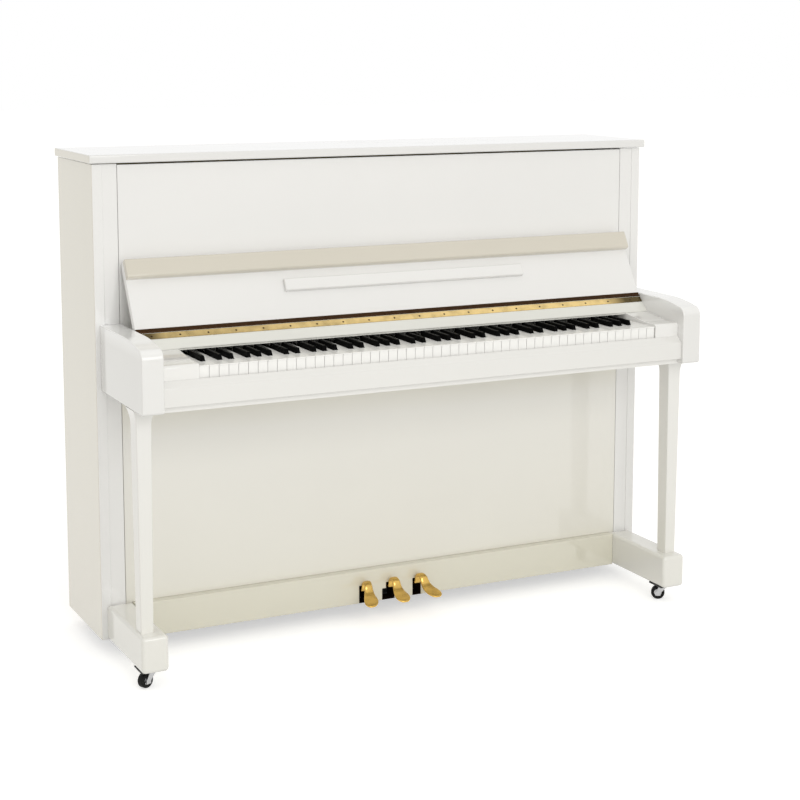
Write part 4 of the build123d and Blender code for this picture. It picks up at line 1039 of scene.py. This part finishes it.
string = {"stand": 0.013, "row": 0.018, "shortest": 0.070, "longest": 0.860, "growth": 0.87}
string |= {"lean": -0.2, "foot": 0.0015, "wire": 0.0006, "wound": 0.0013}
bass = {"notes": 28, "lean": 0.3, "top": 0.003, "foot": 0.013, "hitchRow": 1.5}  # crosses over
pin = {"rows": 3, "radius": 0.0034, "stand": 0.028, "rise": 0.020, "hitch": 0.002, "proud": 0.002}
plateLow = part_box("iron_plate")[0]
index = np.arange(keyboard["notes"])
inBass = index < bass["notes"]
plane = plateLow.y - string["stand"]
pinRow = np.where(inBass, pin["rows"] - 1 - index % pin["rows"], index % pin["rows"])
topZ = blockFoot + pin["rise"] + string["row"] * pinRow
octaves = (keyboard["notes"] - 1 - index) / len(noteNames)
length = np.minimum(string["shortest"] * 2 ** (octaves * string["growth"]), string["longest"])
bassFootZ = plateLow.z + string["row"] * (bass["hitchRow"] + index % 2)
footZ = np.where(inBass, bassFootZ, topZ - length)
footX = noteMiddle + np.where(inBass, bass["lean"], string["lean"]) * (topZ - footZ)
topY = np.where(inBass, plane - bass["top"], plane)
footY = np.where(inBass, plane - bass["foot"], plateLow.y - string["foot"])
tops, feet = np.stack([noteMiddle, topY, topZ], 1), np.stack([footX, footY, footZ], 1)
piece("bassStrings", rods(tops[inBass], feet[inBass], string["wound"]), copperWire)
stood = np.array([0, 1, 0]) * plateLow.y
pinFoot = tops * (1, 0, 1) + stood
hitchFoot = feet[inBass] * (1, 0, 1) + stood
pins = rods(pinFoot, pinFoot - (0, pin["stand"], 0), pin["radius"], 10)
hitches = rods(hitchFoot, feet[inBass] - (0, pin["proud"], 0), pin["hitch"])
wires = rods(tops[~inBass], feet[~inBass], string["wire"], 6)
piece("stringsAndPins", joined(wires, pins, hitches), drawnSteel, stands=["strings"])
print("works: hammers, strings and pins")

# Floor, light and camera
floor = {"size": 60.0, "colour": 0.80, "lift": 0.52, "roughness": 0.9}


def rayWhite(tree):  # 1 for rays from the camera, from mirrors and through glass
    path = Wire.node(tree, "LightPath", output="Is Camera Ray")
    outputs = path.socket.node.outputs
    return path.most(Wire(outputs["Is Glossy Ray"])).most(Wire(outputs["Is Transmission Ray"]))


half = floor["size"] / 2
floorCorners = [(x, y, 0) for x, y in rect((-half, -half), (half, half)).tolist()]
floorMesh = bpy.data.meshes.new("studioFloor")
floorMesh.from_pydata(floorCorners, [], [(0, 1, 2, 3)])
studioFloor = bpy.data.objects.new("studioFloor", floorMesh)
scene.collection.objects.link(studioFloor)
paperSockets = {"Roughness": floor["roughness"], "Specular_IOR_Level": 0.0}
paperSockets |= {"Emission_Strength": floor["lift"]}
paper = Finish("floorPaper", (floor["colour"],) * 3, **paperSockets)
paper.feed("Emission Color", paper.mix(rayWhite(paper.tree), (0, 0, 0), (1, 1, 1)))
floorMesh.materials.append(paper.material)

sky = {"ambient": (0.745, 0.735, 0.70)}  # a little warm, and white where it is seen
world = bpy.data.worlds.new("studioSky")
scene.world = world
world.use_nodes = True
skyTree = world.node_tree
skyColour = Wire.blend(skyTree, rayWhite(skyTree), sky["ambient"], (1, 1, 1))
skyTree.links.new(skyColour.socket, skyTree.nodes["Background"].inputs["Color"])

lamps = {
    "keyLamp": {"place": (-0.4, -5.2, 2.4), "size": 3.0, "watts": 81},
    "topLamp": {"place": (0.2, -0.6, 4.4), "size": 3.2, "watts": 5},
}
lampAim = Vector((0, 0, 0.7))
for name, lamp in lamps.items():
    light = bpy.data.lights.new(name, "AREA")
    light.size, light.energy = lamp["size"], lamp["watts"]
    shine = bpy.data.objects.new(name, light)
    shine.location = lamp["place"]
    shine.rotation_euler = (lampAim - shine.location).to_track_quat("-Z", "Y").to_euler()
    scene.collection.objects.link(shine)

view = {"place": (-1.9067, -4.0009, 1.4896), "yaw": 27.18, "pitch": 7.91, "roll": 0.21}
picture = {"side": 800, "focal": 1769, "centre": (440, 280)}  # in pixels
sensor = 36


def turned(degrees, axis):  # a turn about one axis through the origin
    return Matrix.Rotation(math.radians(degrees), 4, axis)


camera = bpy.data.objects.new("photoCamera", bpy.data.cameras.new("photoCamera"))
scene.collection.objects.link(camera)
scene.camera = camera
camera.data.sensor_width = sensor
camera.data.lens = picture["focal"] * sensor / picture["side"]
camera.data.shift_x = 0.5 - picture["centre"][0] / picture["side"]
camera.data.shift_y = picture["centre"][1] / picture["side"] - 0.5
camera.location = view["place"]
aim = turned(-view["yaw"], "Z") @ turned(90 - view["pitch"], "X") @ turned(view["roll"], "Z")
camera.rotation_euler = aim.to_euler()
scene.view_settings.view_transform = "Standard"
print("stage: floor, sky,", len(lamps), "lamps and camera")
